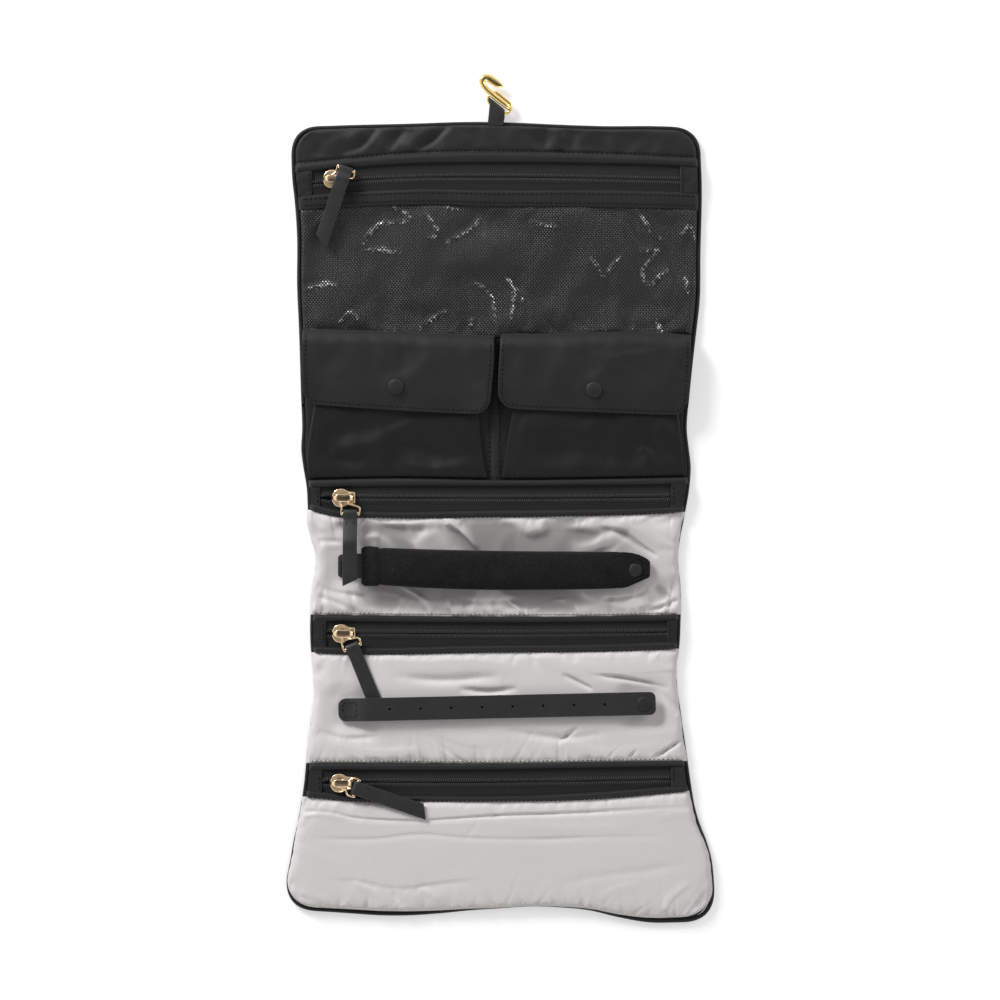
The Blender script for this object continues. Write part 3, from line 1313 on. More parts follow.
def make_end_tab(number, side, edge, body):
    """A folded piece of cloth sewn over the end of a zip, as far as an edge."""
    upper, lower = ZIP_UPPER[number - 1], ZIP_LOWER[number - 1]
    left = side == "left"
    sides = (above(left_edge, 1.8), level(edge)) if left else (level(edge), above(right_edge, -1.8))
    x, y, dl, dr, _, _ = patch(above(upper, 0.4), above(lower, -0.4), 22, 16, 0, sides)
    top = 5.3 + 0.5 * rounded((dr if left else dl) + 0.1, 1.2) + clouds(x, y, 9, 120 + number) * 0.5
    obj = slab(f"zip_{number}_{side}_tab", x, y, top, top - 0.9, "nylon")
    finished(obj, body, "nylon")
    ys = np.linspace(float(upper(edge)) - 0.8, float(lower(edge)) + 0.8, 40)
    path = laid(np.c_[ys * 0 + edge + (-1.5 if left else 1.5), ys], obj)
    finished(stitches(f"zip_{number}_{side}_stitches", [path]), body, "nylon")


make_header()
make_zips()


FILM_SCALE = 3.418


def film(*points):
    """Points of the photograph, from an enlarged view of the film."""
    return [(280 + a / FILM_SCALE, 60 + b / FILM_SCALE) for a, b in points]


# Sharp creases of the film, which glint, and its wide soft waves with their width and height
FILM_CREASES = [
    film((380, 500), (440, 530), (440, 560)), film((440, 555), (350, 560), (300, 600), (280, 640)),
    film((280, 640), (330, 650), (420, 660)), film((500, 520), (540, 590), (500, 610)),
    film((560, 500), (610, 512)), film((690, 530), (650, 580), (560, 630)),
    film((850, 550), (900, 565), (950, 570)), film((1225, 515), (1280, 600), (1310, 610)),
    film((1060, 670), (1105, 740)), film((1105, 740), (1165, 670)),
    film((1230, 650), (1300, 650)), film((1290, 655), (1240, 720), (1260, 780)),
    film((1260, 780), (1330, 710)), film((1370, 600), (1400, 570), (1420, 620)),
    film((80, 790), (150, 770), (205, 770)), film((200, 900), (240, 860), (270, 890)),
    film((490, 905), (530, 880), (575, 858)), film((665, 760), (720, 800), (740, 900)),
    film((770, 740), (800, 790), (790, 890)), film((780, 745), (835, 830)),
    film((660, 880), (650, 915)), film((1390, 740), (1395, 800)),
]
FILM_WAVES = [
    (film((480, 830), (560, 650), (700, 560), (850, 590), (960, 720)), 7, -1.2, 0),
    (film((1000, 740), (1150, 830), (1350, 850)), 8, -1.0, 0),
    (film((700, 640), (780, 620), (880, 660)), 8, 1.4, 0),
]


def make_window():
    upper, lower = above(WINDOW_TOP, 0.5), above(FLAP_SEAM, -1.5)
    crushed = crumple(226, 74, 33, grow=0.045, cap=2.6)
    x, y, dl, dr, du, dd = patch(upper, lower, 128, 360, 2.0)
    height = 4.9 + crushed(*shares(x, y, upper, lower)) * 0.7 + clouds(x, y, 44, 95) * 0.6
    sharp = [(points, 1.15, 1.1, 0.4 if k % 2 else -0.4) for k, points in enumerate(FILM_CREASES)]
    gathers = puckers(x, y, lower, 1, 97, 6, 8, 0.8, 1.6)
    height = height + ridges(x, y, sharp) + ridges(x, y, FILM_WAVES) + gathers
    strained = sum(ridge(x, y, points, 0.8, 1.0) for points in FILM_CREASES) + smoothstep(gathers, 0.25, 0.5)
    held = rounded(least(du, dd) + 0.4, 4.0)
    edge = rounded(least(dl, dr) + 0.2, 2.4)
    top = 2.4 + (3.8 + (height - 3.8) * held - 2.4) * edge
    obj = slab("window_film", x, y, top, np.minimum(top - 0.35, 2.4), "film")
    give(obj, "crease", np.clip(strained, 0, 1))
    finished(obj, FOLD_TOP, "mesh", "window_mesh")


make_window()

# Pockets with their flaps and snaps

# Each pocket with its flap: its outline, the place of its snap, and folds of the flap and of the pocket
FLAPS = {
    "left": dict(
        upper=seam((295, 329), (303, 329), (403, 331.6), (493, 335.6), (500, 336)),
        lower=seam((295, 402.5), (320, 405), (389, 410), (469, 414), (500, 414.5)),
        sides=(
            down((329, 302.5), (360, 302), (390, 302.8), (415, 304)),
            down((329, 494), (360, 494), (385, 492), (415, 489)),
        ),
        snap=at(396, 387),
        pocket=(
            down((350, 319), (405, 314), (456, 307), (482, 308)),
            down((350, 473), (416, 478.7), (456, 483), (482, 488.5)),
        ),
        folds=[
            ([(394, 376), (386, 362), (378, 350)], 3.5, 0.9, 0.3),
            ([(399, 376), (402, 360), (404, 346)], 3.5, -0.8, 0),
            ([(406, 380), (420, 366), (440, 352)], 4.5, 0.7, 0.2),
            ([(330, 345), (350, 372), (340, 392)], 7, -0.7, 0),
            ([(450, 345), (470, 360), (480, 380)], 6, 0.7, 0),
        ],
        creases=[
            ([(376, 438), (395, 431), (418, 420)], 4.5, 1.3, 0.3),
            ([(330, 452), (352, 447), (376, 446), (393, 459)], 4.0, 1.6, -0.3),
            ([(336, 456), (348, 460), (362, 465)], 3.0, -1.1, 0),
            ([(392, 441), (414, 446), (438, 454), (478, 457)], 4.0, -1.5, 0.3),
            ([(320, 428), (350, 432), (380, 426)], 5.0, -0.9, 0),
            ([(400, 464), (440, 470), (470, 460)], 4.0, 1.0, 0.2),
        ],
    ),
    "right": dict(
        upper=seam((495, 334), (502, 333.6), (547, 333.5), (612, 331.5), (691, 335), (700, 336)),
        lower=seam((495, 407.5), (515, 409), (593, 412.3), (669, 415), (700, 415.5)),
        sides=(
            down((329, 501), (345, 500), (390, 498), (415, 499)),
            down((329, 691), (360, 690.5), (385, 689), (415, 686)),
        ),
        snap=at(593.7, 390),
        pocket=(
            down((350, 518), (411, 512), (450, 506), (482, 501.5)),
            down((350, 674), (415, 678.7), (456, 683), (482, 685.5)),
        ),
        folds=[
            ([(604, 360), (625, 355), (660, 352)], 2.6, 1.0, 0.3),
            ([(591, 378), (588, 370), (580, 352)], 3.0, -0.9, 0),
            ([(598, 378), (604, 366), (600, 350)], 3.5, 0.9, 0.3),
            ([(530, 350), (560, 366), (570, 384)], 7, 0.7, 0),
            ([(640, 395), (665, 385), (680, 366)], 6, 0.6, 0),
        ],
        creases=[
            ([(520, 425), (560, 432), (610, 428)], 6, 0.9, 0.2),
            ([(640, 447), (650, 455), (641, 472)], 2.6, 1.2, 0.4),
            ([(648, 443), (662, 452), (676, 455)], 3.0, -1.1, 0.2),
            ([(540, 452), (575, 447), (610, 456), (636, 462)], 5.0, -1.1, 0),
            ([(520, 466), (560, 470), (600, 466)], 5.0, 0.8, 0),
            ([(655, 425), (668, 432), (678, 440)], 4.0, 0.9, 0.2),
        ],
    ),
}
POCKET_BASE = 3.7
POCKET_MOUTH = 67.4
FLAP_THICKNESS = 1.2
FLAP_CORNER = 8.5
FLAP_LEVEL = 12.1
SNAP_LEVEL = 13.0
FLAP_SEAM_LEVEL = 4.6
FLAP_STITCH_MARGIN = 2.1
FLAP_SNAP_RADIUS = 4.65
# The zone where a flap bends when it opens
FLAP_HINGE = ((0, 82.0, 0), (0, 68.0, 0))


def make_pocket_lining():
    x, y, dl, dr, _, _ = patch(above(FLAP_SEAM, 2.0), above(POCKET_STITCH, -1.0), 60, 180, 2.0)
    between = np.exp(-(((x - column_x(495.3)) / 1.5) ** 2)) * smoothstep(-y, -78, -60)
    top = 3.1 + clouds(x, y, 12, 130) * 0.25 + 1.3 * between
    top = 2.3 + (top - 2.3) * rounded(least(dl, dr) + 0.2, 2.2)
    obj = slab("pocket_back", x, y, top, np.minimum(top - 0.3, 2.3), "nylon")
    finished(obj, "middle", "nylon", "pocket_lining")
    return obj


def make_pocket_stitches(*pieces):
    ys = np.linspace(row_y(345), row_y(475), 200)
    columns = [np.c_[ys * 0 + column_x(px), ys] for px in (489.6, 499.6)]
    paths = [laid(line, *pieces) for line in (*columns, row_paths(POCKET_STITCH, 1.0))]
    finished(stitches("pocket_back_stitches", paths, width=0.85), "middle", "nylon")


def make_pocket(side):
    """A pocket's front with its two bellows folded in at the sides."""
    plan = FLAPS[side]
    crushed = crumple(100, 70, 140 + len(side), grow=0.03, cap=2.0, free=("top",))
    foot = above(POCKET_STITCH, 0.2)
    x, y, dl, dr, du, dd = patch(level(POCKET_MOUTH), foot, 66, 96, 0, plan["pocket"])
    u = dl / (dl + dr)
    t = du / (du + dd)
    relief = crushed(u, t) * 0.5 + clouds(x, y, 30, 150) * 0.3 + ridges(x, y, plan["creases"], 1.15, 1.25)
    relief = relief * smoothstep(-y, -40, -28)
    rise = 9.0 - 3.4 * smoothstep(t, 0.3, 1.0)
    z = rise + np.clip(relief, -2.2, 1.6) * smoothstep(least(dl, dr), 0, 9)
    z = POCKET_BASE + (z - POCKET_BASE) * rounded(dd + 0.15, 7.0)
    z = POCKET_BASE + (z - POCKET_BASE) * (0.55 + 0.45 * rounded(least(dl, dr) + 0.25, 1.6))
    steps = np.linspace(0, 1, 6)[:, None]
    walls = []
    for column, inward in ((0, 1), (-1, -1)):
        top = z[:, column]
        lean = inward * 2.6 * np.sin(math.pi * steps) * smoothstep(top, 4.2, 7)
        drop = top + (POCKET_BASE - top) * steps
        wall = np.stack([x[:, column] + lean, y[:, column] + 0 * lean, drop], -1)
        walls.append(np.transpose(wall, (1, 0, 2)))
    front = np.stack([x, y, z], -1)
    full = np.concatenate([walls[0][:, :0:-1], front, walls[1][:, 1:]], 1)
    obj = grid_object(f"pocket_{side}_front", *np.moveaxis(full, -1, 0))
    obj.data.materials.append(LOOKS["pocket"])
    thick = obj.modifiers.new("thickness", "SOLIDIFY")
    thick.thickness = 0.8 * MM
    thick.offset = -1
    finished(obj, "middle", "nylon", f"pocket_{side}")
    return obj


def make_flap(side):
    plan = FLAPS[side]
    upper, lower = plan["upper"], plan["lower"]
    left, right = plan["sides"]
    snap_x, snap_y = plan["snap"]
    crushed = crumple(108, 42, 160 + len(side), grow=0.018, cap=1.2, free=("foot",))
    x, y, dl, dr, _, dd = patch(upper, lower, 60, 120, 0, (left, right), (0, FLAP_CORNER))

    def relief(x, y):
        down_share = (upper(x) - y) / (upper(x) - lower(x))
        across = (x - left(y)) / (right(y) - left(y))
        height = FLAP_LEVEL + crushed(across, down_share) * 0.55 + clouds(x, y, 26, 170 + len(side)) * 0.3
        height = height + ridges(x, y, plan["folds"], 1.0, 0.6)
        off = np.hypot(x - snap_x, y - snap_y)
        height = height + (SNAP_LEVEL - height) * np.exp(-((off / 7.5) ** 4))
        height = height + 0.2 * np.exp(-(((off - 8.5) / 2.5) ** 2))
        height = height - 0.8 * smoothstep(down_share, 0.7, 1.0)
        return FLAP_SEAM_LEVEL + (height - FLAP_SEAM_LEVEL) * rounded(upper(x) - y + 0.05, 9.0)

    top = relief(x, y)
    worn = 1 - rounded(least(dl, dr, dd) + 0.12, 1.0)
    bottom = top - FLAP_THICKNESS + 0.3 * worn
    obj = slab(f"pocket_flap_{side}_cloth", x, y, top - 0.45 * worn, bottom, "nylon")
    body = f"pocket_flap_{side}"
    hinge = ("middle", body, *FLAP_HINGE)
    finished(obj, hinge, "nylon", f"flap_{side}")
    line = flap_stitch_line(upper, lower, left, right)
    path = np.c_[line, relief(line[:, 0], line[:, 1]) + 0.05]
    finished(stitches(f"pocket_flap_{side}_stitches", [path]), hinge, "nylon")
    cap = make_cap(f"flap_{side}_button", snap_x, snap_y, SNAP_LEVEL, FLAP_SNAP_RADIUS)
    finished(cap, body, "snap", f"flap_{side}_cap")


def flap_stitch_line(upper, lower, left, right):
    """A line down a flap's left side, along its foot and up its right side."""
    head = lambda line: float(upper(line(70))) - 3
    foot_left, foot_right = left(40), right(36)
    ys = np.linspace(head(left), float(lower(foot_left)) + FLAP_CORNER, 60)
    start = np.c_[left(ys) + FLAP_STITCH_MARGIN, ys]
    xs = np.linspace(float(foot_left) + FLAP_CORNER, float(foot_right) - FLAP_CORNER, 120)
    foot = np.c_[xs, lower(xs) + FLAP_STITCH_MARGIN]
    ys = np.linspace(float(lower(foot_right)) + FLAP_CORNER, head(right), 60)
    end = np.c_[right(ys) - FLAP_STITCH_MARGIN, ys]
    first = rounding(start[-1], np.array([start[-1, 0], foot[0, 1]]), foot[0], 10)
    second = rounding(foot[-1], np.array([end[0, 0], foot[-1, 1]]), end[0], 10)
    return np.concatenate([start, first, foot, second, end])


def lathe(name, profile, material, x=0.0, y=0.0, sides=40):
    """A turned piece about an upright axis, from radius and height pairs that start and end on the axis."""
    angles = np.linspace(0, 2 * math.pi, sides, endpoint=False)
    points = [(x, y, profile[0][1])]
    for radius, height in profile[1:-1]:
        points += [(x + radius * math.cos(a), y + radius * math.sin(a), height) for a in angles]
    points.append((x, y, profile[-1][1]))
    faces = []
    rings = len(profile) - 2
    for k in range(sides):
        after_k = (k + 1) % sides
        faces.append((0, 1 + after_k, 1 + k))
        for r in range(rings - 1):
            a, b = 1 + r * sides, 1 + (r + 1) * sides
            faces.append((a + k, a + after_k, b + after_k, b + k))
        last = 1 + (rings - 1) * sides
        faces.append((last + k, last + after_k, len(points) - 1))
    return mesh_object(name, points, faces, material)


def make_cap(name, x, y, sheet_top, radius):
    """A cloth-covered snap cap with a rounded rim, and the socket under the sheet."""
    angles = np.linspace(0, 1, 9) * 1.35
    dome = [(radius * math.cos(a) ** 0.7, sheet_top + 0.35 + 1.15 * math.sin(a)) for a in angles]
    low = sheet_top - CAP_DEPTH
    profile = [
        (0, low + 0.9), (2.3, low + 0.9), (2.4, low), (3.5, low), (3.7, low + 0.25),
        (3.7, sheet_top - 1.4), (1.7, sheet_top - 1.4), (1.7, sheet_top - 0.1),
        (radius - 0.25, sheet_top - 0.1), (radius, sheet_top + 0.1), *dome, (0, sheet_top + 1.55),
    ]
    obj = lathe(name, profile, "snap", x, y)
    shade_by_angle(obj, 40)
    return obj


CAP_DEPTH = 2.2

make_pocket_stitches(make_pocket_lining(), make_pocket("left"), make_pocket("right"))
for side in FLAPS:
    make_flap(side)
for node in ("flap_left_stud", "flap_right_stud", "ring_bar_stud", "strap_stud"):
    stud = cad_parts[node]
    stud.data.materials.clear()
    stud.data.materials.append(LOOKS["socket"])


# Leather ribbons: pulls, sewn tabs and the hook's loop


def ribbon(name, path, width, thickness, material, slant=0.0, swell=None, steps=90):
    """A strap along a path of X and Z, with rounded edges. Slant cuts its far end at an angle."""
    fine = resampled(path, 0.25)
    lengths = np.r_[0, np.cumsum(np.linalg.norm(np.diff(fine, axis=0), axis=1))]
    ahead = np.gradient(fine, axis=0)
    ahead /= np.linalg.norm(ahead, axis=1)[:, None]
    normal = np.stack([-ahead[:, 1], ahead[:, 0]], -1)
    total = lengths[-1]
    half, thick, edge = width / 2, thickness / 2, min(0.45, thickness * 0.4)
    section = []
    for side, top, start in ((1, 1, 0), (-1, 1, 90), (-1, -1, 180), (1, -1, 270)):
        for angle in np.radians(start + np.arange(4) * 30):
            y = side * (half - edge) + edge * math.cos(angle)
            section.append((y, top * (thick - edge) + edge * math.sin(angle)))
    aside, up = np.array(section).T
    rings = []
    for s in np.r_[0, 0.25, spread(steps, 0.2)[1:-1] * total, total - 0.25, total]:
        raised = up * (1 - 0.25 * (1 - rounded(min(s, total - s) + 0.02, 0.6)))
        y = aside * (swell(s / total) if swell else 1.0)
        cut = s - slant * (half + y) * smoothstep(s, total - 12, total)
        x, z, nx, nz = (np.interp(cut, lengths, values) for values in (*fine.T, *normal.T))
        rings.append(np.stack([x + nx * raised, y, z + nz * raised], -1))
    obj = lofted(name, rings, material)
    shade_by_angle(obj, 50)
    return obj


# Pulls and sliders, in the order of the zips. An offset is how far a tab lies off the middle of its bail.
SLIDER_X = [-94.0, -89.0, -89.0, -90.0]
ZIP_Y = [168.75, -13.7, -91.25, -176.75]
PULL_TURN = [71, -90, -68, -19]
PULL_SHIFT = [0.6, 0.6, 0.6, 0]
PULL_OFFSET = [-3.9, 3.4, 1.5, 0]
PULL_SLANT = [0.65, 0.5, 0.5, 0.5]
PULL_WIDTH = 8.4
PULL_THICKNESS = 1.25
WIRE_LEVEL = 8.65
WIRE_RADIUS = 0.62
WRAP_RADIUS = 1.45
BAIL_LENGTH = 8.6
SHORT_BAIL = 6.8
# Two stitches across a tab: how far they stand from the cross wire and from the tab's middle
PULL_STITCH_REACH = 6.2
PULL_STITCH_ASIDE = 2.3


def eased(stops, step=0.5):
    """A path whose level eases from one stop to the next."""
    out = [stops[0]]
    for (x0, z0), (x1, z1) in zip(stops, stops[1:]):
        for s in np.linspace(0, 1, max(3, int(abs(x1 - x0) / step)))[1:]:
            out.append((x0 + (x1 - x0) * s, z0 + (z1 - z0) * float(smoothstep(s, 0, 1))))
    return out


def wrap_path(rest, sign, wire):
    """A strap folded round the bail's cross wire, with a short tail under it and the rest above."""
    arc = [
        (wire + sign * WRAP_RADIUS * math.cos(a), WIRE_LEVEL + WRAP_RADIUS * math.sin(a))
        for a in np.linspace(-math.pi / 2, -3 * math.pi / 2, 14)
    ]
    tail = [(wire + sign * 8, WIRE_LEVEL - 1.5), (wire + sign * 3, WIRE_LEVEL - 1.47)]
    return [*tail, *arc, *rest]


def pull_paths():
    """Paths of the tabs: flipped back over its slider, raised over the ring bar, and two that lie flat."""
    flat = [(11.5, 9.75), (17, 8.35), (23, 7.9), (36, 7.75), (52.4, 7.7)]
    raised = eased([(11.0, 9.9), (26.5, 16.3), (44, 16.4), (50.4, 15.7)])
    flipped = eased([(SHORT_BAIL - 1.5, 10.1), (1.4, 11.7), (-4.2, 11.7), (-20, 7.9), (-39.0, 7.7)])
    forward = [wrap_path(rest, 1, BAIL_LENGTH) for rest in (raised, flat, flat)]
    return [wrap_path(flipped, -1, SHORT_BAIL), *forward]


def bail_half(aside, wire):
    leg = 5.05 + aside
    start = [(0, 0.5), (0, 1.7), (0.5, 2.2), (wire - 5.4, 2.4), (wire - 3.2, leg), (wire, leg)]
    turn = [(0.7, 0.1), (0.9, 0.45), (0.4, 0.75), (0, 1.2)]
    return [*start, *((wire + along, leg - inward) for along, inward in turn)]


def make_pulls():
    for i, path in enumerate(pull_paths()):
        number = i + 1
        body = f"pull_{number}"
        place = (PULL_TURN[i], SLIDER_X[i] + PULL_SHIFT[i], ZIP_Y[i])
        aside = PULL_OFFSET[i]
        swell = lambda share: 0.93 + 0.07 * share
        tab = ribbon(f"{body}_leather", path, PULL_WIDTH, PULL_THICKNESS, "leather", PULL_SLANT[i], swell)
        bent(tab, lambda x, y, z: (x, y + aside, z))
        finished(turned(tab, *place), body, "leather", f"pull_tab_{number}")
        sign, reach = (1, BAIL_LENGTH) if i else (-1, SHORT_BAIL)
        loop = [*bail_half(aside, reach), *[(x, -y) for x, y in reversed(bail_half(-aside, reach))]]
        wire = closed_curve(loop, 120)
        rings = tube_rings(np.c_[wire, np.full(len(wire), WIRE_LEVEL)], WIRE_RADIUS, 12, closed=True)
        bail = lofted(f"{body}_bail", rings, "rose_gold", True)
        finished(turned(bail, *place), body, "rose_metal", f"bail_{number}")
        x = reach + sign * PULL_STITCH_REACH
        heights = resampled(path, 0.25)
        upper = heights[np.abs(heights[:, 0] - x) < 0.3][:, 1].max() + 0.6
        rows = [aside - PULL_STITCH_ASIDE, aside + PULL_STITCH_ASIDE]
        paths = [np.array([(x - 1.3, y, upper), (x + 1.3, y, upper)]) for y in rows]
        dots = stitches(f"{body}_stitches", paths, "thread", 1.3, 1.0, 0.6)
        finished(turned(dots, *place), body, "leather")


def pillow(name, outline, bottom, edge, crown, material):
    """A cast plate with rounded edges and a top that swells towards its middle."""
    outline = np.array(outline, float)
    profile = [(0.93, 0.0), (0.985, 0.05), (1.0, 0.2), (1.0, edge - 0.25), (0.97, edge - 0.05), (0.92, edge)]
    swell = [(0.8, 0.3), (0.62, 0.65), (0.4, 0.9), (0.15, 1)]
    profile += [(share, edge + crown * rise) for share, rise in swell]
    rings = [np.c_[outline * share, np.full(len(outline), bottom + height)] for share, height in profile]
    obj = lofted(name, rings, material)
    shade_by_angle(obj, 60)
    return obj


def make_sliders():
    half = [
        (-6.5, 0), (-6.2, 2.2), (-4.8, 4.2), (-2.4, 5.2), (0.2, 5.1), (2.2, 4.1), (3.6, 3.6), (5.6, 3.5),
        (6.4, 3.2), (6.7, 2.2),
    ]
    outline = closed_curve([*half, *[(x, -y) for x, y in reversed(half[1:])]], 90)
    inner = [(x * 0.95, y * 0.9) for x, y in outline]
    path = eased([(-6.0, 7.3), (-5.0, 9.6), (-3.6, 10.15), (3.6, 10.15), (5.0, 9.6), (6.0, 7.3)], 0.1)
    width = smooth_line([(0, 0.5), (0.16, 0.55), (0.3, 1), (0.5, 1.04), (0.7, 1), (0.84, 0.55), (1, 0.5)])
    pin = [(0, 3.6), (0.4, 3.6), (0.4, 6.6), (0, 6.6)]
    for i in range(4):
        name = f"slider_{i + 1}"
        roof = pillow(f"{name}_roof", outline, 6.35, 0.75, 0.7, "rose_gold")
        floor = outlined(f"{name}_floor", inner, [], 2.8, 1.0, "rose_gold", 0.3)
        bridge = ribbon(f"{name}_bridge", path, 4.2, 1.1, "rose_gold", 0.0, width, 60)
        post = lathe(f"{name}_post", pin, "rose_gold", -4.2, 0, 12)
        for piece in (roof, floor, bridge, post):
            turned(piece, 0, SLIDER_X[i], ZIP_Y[i])
            finished(piece, f"runner_{i + 1}", "rose_metal", *([name] if piece is roof else []))


make_pulls()
make_sliders()


# Ring bar and earring strap


BAR_MIDDLE = seam(
    (340, 566), (372, 566.1), (427, 568.5), (491, 570.2), (560, 570.4), (620, 569.8), (650, 568.4)
)
# The bar's half width in pixels, its height and the level of its underside, at columns of the photograph
BAR_HALF = by_column(
    (361.5, 17.5), (364, 19.4), (368, 19.9), (375, 19.8), (378.5, 19.3), (380.4, 18.2), (383, 18.5),
    (400, 19), (460, 19.6), (540, 19.3), (600, 18.6), (618, 18), (624, 17), (630, 15), (636, 13), (641, 11.5),
)
BAR_TALL = by_column(
    (361.5, 3.4), (364, 5.4), (370, 7.6), (377, 9.0), (380.4, 8.7), (386, 9.6), (500, 9.9), (590, 9.6),
    (606, 8.2), (618, 5.0), (628, 2.4), (636, 1.2), (641, 0.5),
)
BAR_LIFT = by_column(
    (361.5, 6.7), (368, 6.0), (376, 5.7), (590, 5.6), (606, 6.2), (618, 7.2), (628, 8.4), (636, 9.2),
    (641, 9.75),
)
# Stretches of the bar between columns, with the number of rings over each
BAR_RINGS = [(361.5, 386, 40), (387, 600, 90), (601, 641, 36)]
BAR_SIDES = 44
BAR_END = [
    (616, 552.4), (624, 551.9), (632, 552.8), (638, 554.4), (644, 557), (648, 559.4), (649.8, 562),
    (649.8, 575.5), (648.6, 577.6), (644, 579.6), (636, 583), (627, 587), (622, 588), (616, 588),
]
BAR_END_STITCHES = [
    (614, 555), (624, 555.2), (632, 556.2), (640, 559), (645.5, 562.5), (646.5, 566), (646.5, 573),
    (645.4, 575.6), (638, 579), (628, 583.2), (620, 585),
]
TAB_Y = row_y(566)


def make_ring_bar():
    pad = make_bar_pad()
    end = outlined("ring_bar_leather_end", [at(*p) for p in BAR_END[::-1]], [], 8.75, 1.4, "velvet", 0.35)
    finished(end, "ring_bar", "leather", "ring_bar_end")
    rim = laid(resampled([at(*p) for p in BAR_END_STITCHES], 0.5), pad, end)
    finished(stitches("ring_bar_point_stitches", [rim]), "ring_bar", "leather")
    cap = make_cap("ring_bar_button", *at(635, 570), 10.15, 3.9)
    finished(cap, "ring_bar", "snap", "ring_bar_cap")
    left, right = column_x(338), column_x(371)
    path = eased([(left, 6.1), (left + 11, 6.15), (right, 7.3)])
    swell = smooth_line([(0, 0.8), (0.06, 0.95), (0.15, 1), (1, 1.02)])
    tab = ribbon("ring_bar_leather_tab", path, 13.4, 1.1, "leather", 0.0, swell)
    hinge = ("middle", "ring_bar", (-86, 0, 0), (-74.5, 0, 0))
    finished(turned(tab, 0, 0, TAB_Y), hinge, "leather", "ring_bar_tab")
    row = laid(np.array([(column_x(367.3), TAB_Y + d) for d in np.linspace(-9, 9, 30)]), pad)
    finished(stitches("ring_bar_end_stitches", [row]), "ring_bar", "leather")
    row = np.array([(left + 1.8, TAB_Y + d, 6.72) for d in np.linspace(-5, 5, 20)])
    finished(stitches("ring_bar_tab_stitches", [row]), "middle", "leather")


def make_bar_pad():
    xs = np.concatenate([np.linspace(column_x(a), column_x(b), count) for a, b, count in BAR_RINGS])
    angles = np.linspace(0, 2 * math.pi, BAR_SIDES, endpoint=False)
    square_off = lambda v: np.sign(v) * np.abs(v) ** 0.8
    rings = []
    for x in xs:
        along = np.full(BAR_SIDES, x)
        y = float(BAR_MIDDLE(x)) + square_off(np.cos(angles)) * float(BAR_HALF(x)) * PIXEL
        z = float(BAR_LIFT(x)) + (1 + square_off(np.sin(angles))) * float(BAR_TALL(x)) / 2
        gather = 0.35 * np.sin(angles * 9 + x) * np.exp(-((x - xs[0]) / 6) ** 2)
        bumps = clouds(along, y, 20, 180) * 0.4 + clouds(along, z + y, 8, 184) * 0.1
        upper_side = np.clip(np.sin(angles), 0, 1)
        rings.append(np.c_[along, y + 0.3 * gather * np.cos(angles), z + (bumps + gather) * upper_side])
    pad = finished(lofted("ring_bar_pad", rings, "velvet"), "ring_bar", "nylon", "ring_bar")
    return pad


STRAP_HALF = 6.6
STRAP_CORNERS = {"left": 4.4, "right": 3.4}
STRAP_HOLES = 8
STRAP_HOLE_RADIUS = 0.75
# The dark floor of a hole: radius and height pairs
STRAP_HOLE_FLOOR = [(0, 0.7), (0.9, 0.7), (0.9, 1.4), (0, 1.4)]
STRAP_THICKNESS = 1.8


def make_earring_strap():
    left, right = at(338.4, 710), at(655.5, 703)
    length = math.dist(left, right)
    place = (math.degrees(math.atan2(right[1] - left[1], right[0] - left[0])), *left)
    outline = []
    for x, side, radius, start in (
        (length - STRAP_CORNERS["right"], 1, STRAP_CORNERS["right"], 0),
        (STRAP_CORNERS["left"], 1, STRAP_CORNERS["left"], 90),
        (STRAP_CORNERS["left"], -1, STRAP_CORNERS["left"], 180),
        (length - STRAP_CORNERS["right"], -1, STRAP_CORNERS["right"], 270),
    ):
        for angle in np.radians(start + np.arange(9) * 11.25):
            y = side * (STRAP_HALF - radius) + radius * math.sin(angle)
            outline.append((x + radius * math.cos(angle), y))
    marks = [at(390 + k * 30.67, 711 - k * 0.95) for k in range(STRAP_HOLES)]
    centres = np.array([(math.dist(left, mark), 0) for mark in marks])
    turns = np.linspace(0, -2 * math.pi, 14, endpoint=False)
    circle = STRAP_HOLE_RADIUS * np.c_[np.cos(turns), np.sin(turns)]
    holes = [centre + circle for centre in centres]
    obj = outlined("earring_strap_leather", outline, holes, 0, STRAP_THICKNESS, "leather", 0.3, 3.0)
    obj.data.materials.append(LOOKS["inside"])
    for face in obj.data.polygons:
        middle = np.array(face.center[:2]) / MM
        if face.normal.z < 0.5 and np.hypot(*(centres - middle).T).min() < 1.3:
            face.material_index = 1
    lift = smooth_line([
        (0, 5.6), (6, 5.7), (10, 7.0), (14, 8.6), (20, 8.75), (40, 8.75), (90, 8.8), (140, 8.75),
        (length, 8.75),
    ])
    curved = lambda x, y, z: (x, y, z + lift(x) + 0.25 * np.sin(x / 23))
    hinge = ("lower", "earring_strap", (-87, -135, 0), (-77, -134.8, 0))
    finished(turned(bent(obj, curved), *place), hinge, "leather", "earring_strap", "strap_anchor")
    for k, (x, y) in enumerate(centres):
        floor = lathe(f"earring_strap_hole_{k + 1}", STRAP_HOLE_FLOOR, "inside", x, y, 14)
        finished(turned(bent(floor, curved), *place), "earring_strap", "leather")
    cap = make_cap("earring_strap_button", *at(643.5, 703.4), 10.55, 4.3)
    finished(cap, "earring_strap", "snap", "strap_cap")
    corners = np.array([(2.6, -3.9), (10.4, -4.2), (10.4, 4.0), (2.6, 4.0), (2.6, -3.9)])
    rows = [np.linspace(a, b, 24) for a, b in zip(corners, corners[1:])]
    box = [np.c_[row, lift(row[:, 0]) + 1.86] for row in rows]
    finished(turned(stitches("earring_strap_stitches", box), *place), "lower", "leather")


make_ring_bar()
make_earring_strap()


# Cast hook and its leather loop


HOOK_TURN = -39
HOOK_Y = 211.95
HOOK_LEVEL = 3.2
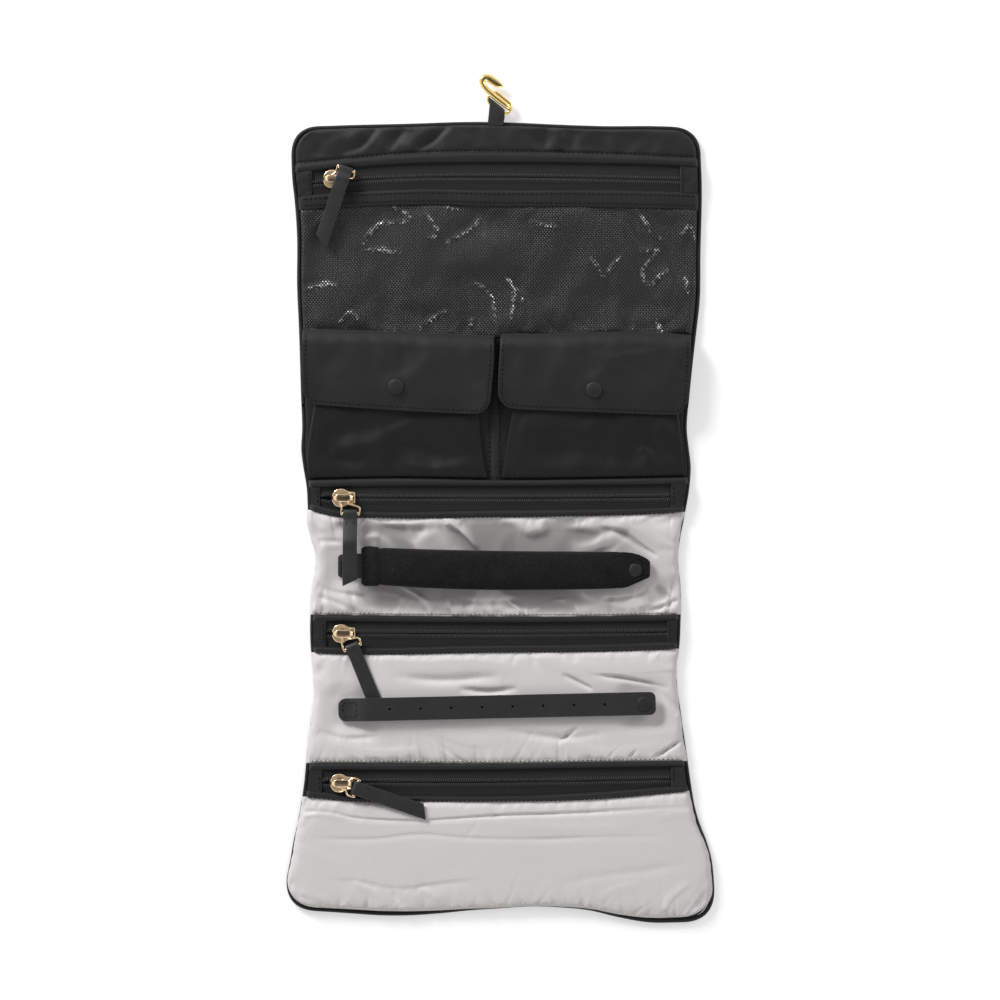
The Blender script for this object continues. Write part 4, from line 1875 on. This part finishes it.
# The hook's spine in its own frame, and its width and height by the share along it
HOOK_SPINE = [
    (6.6, 1.9, -0.9), (4.5, 1.8, 1.2), (-3.8, 1.5, 1.7), (-11.0, 1.9, 1.7), (-14.9, 3.4, 1.7),
    (-15.9, 5.6, 1.7), (-14.2, 7.4, 1.7), (-10.5, 7.9, 1.8), (-7.0, 8.4, 1.9), (-3.9, 9.2, 1.9),
]
HOOK_WIDTH = smooth_line([
    (0, 2.6), (0.12, 3.2), (0.42, 3.5), (0.55, 4.3), (0.66, 4.6), (0.78, 4.7), (0.88, 3.8), (0.95, 2.0),
    (1, 0.4),
])
HOOK_HEIGHT = smooth_line([
    (0, 2.4), (0.12, 3.0), (0.45, 3.2), (0.6, 3.1), (0.7, 2.6), (0.8, 1.9), (0.9, 1.5), (1, 0.8)
])
HOOK_RINGS = 110
EYE_REACH = 4.0
EYE_RADIUS = 3.65
EYE_MIDDLE = 0.55
EYE_WIRE = 0.88


def make_hook():
    eye = []
    for side in (1, -1):
        for angle in np.radians(-90 * side + np.arange(7) * 30):
            x = side * EYE_REACH + EYE_RADIUS * math.cos(angle) * 0.9
            eye.append((x, EYE_MIDDLE + EYE_RADIUS * math.sin(angle), 0))
        eye.append((0, EYE_MIDDLE + side * EYE_RADIUS, 0))
    rings = tube_rings(closed_curve(eye, 90), EYE_WIRE, 14, closed=True)
    ring = lofted("hook_eye", rings, "yellow_gold", True)
    line = open_curve(HOOK_SPINE, HOOK_RINGS)
    t = np.linspace(0, 1, HOOK_RINGS)
    end = rounded(np.minimum(t, 1 - t) + 0.002, 0.03)
    wide, tall = HOOK_WIDTH(t) / 2 * end, HOOK_HEIGHT(t) / 2 * end
    sizes = np.stack([wide, wide, tall], -1)[:, None]
    centres = line[:, None]
    shaped = centres + (np.array(tube_rings(line, 0.5, 18)) - centres) * 2 * sizes
    shank = lofted("hook_shank", shaped, "yellow_gold")
    for piece in (shank, ring):
        turned(piece, HOOK_TURN, 0, HOOK_Y, HOOK_LEVEL)
        finished(piece, "hook", "gold_metal", *(["hook"] if piece is shank else []))


# Where the eye's bar crosses the loop, and how far the loop's turn stands off it
LOOP_BAR = (-1.951, 209.54)
LOOP_RADIUS = 2.15


def make_hook_loop():
    bar_x, bar_y = LOOP_BAR
    foot = float(top_edge(-1.0)) - 2.5
    slope = math.tan(math.radians(HOOK_TURN))
    angles = np.linspace(1.9, -1.9, 22)
    turn = [(bar_y + LOOP_RADIUS * math.cos(a), LOOP_RADIUS * math.sin(a)) for a in angles]
    line = [(foot, -0.2), (foot + 1.5, 0.6), (foot + 3.5, 1.25), *turn, (foot + 3.5, -1.0), (foot, -0.6)]
    path = [(y, HOOK_LEVEL + z) for y, z in line]
    obj = ribbon("hook_loop_leather", path, 9.0, 1.1, "leather", steps=110)

    def place(y, aside, z):
        share = np.clip((y - foot) / (bar_y - 1.6 - foot), 0, 1)
        width = aside * (1 - 0.04 * share)
        return -2.1 + (bar_x + 3.0) * share + width, y + slope * width * share, z

    bent(obj, place)
    flip = bmesh.new()
    flip.from_mesh(obj.data)
    bmesh.ops.recalc_face_normals(flip, faces=flip.faces)
    flip.to_mesh(obj.data)
    flip.free()
    finished(obj, "top", "leather", "hook_loop")


make_hook()
make_hook_loop()

after = [list(corner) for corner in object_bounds()]
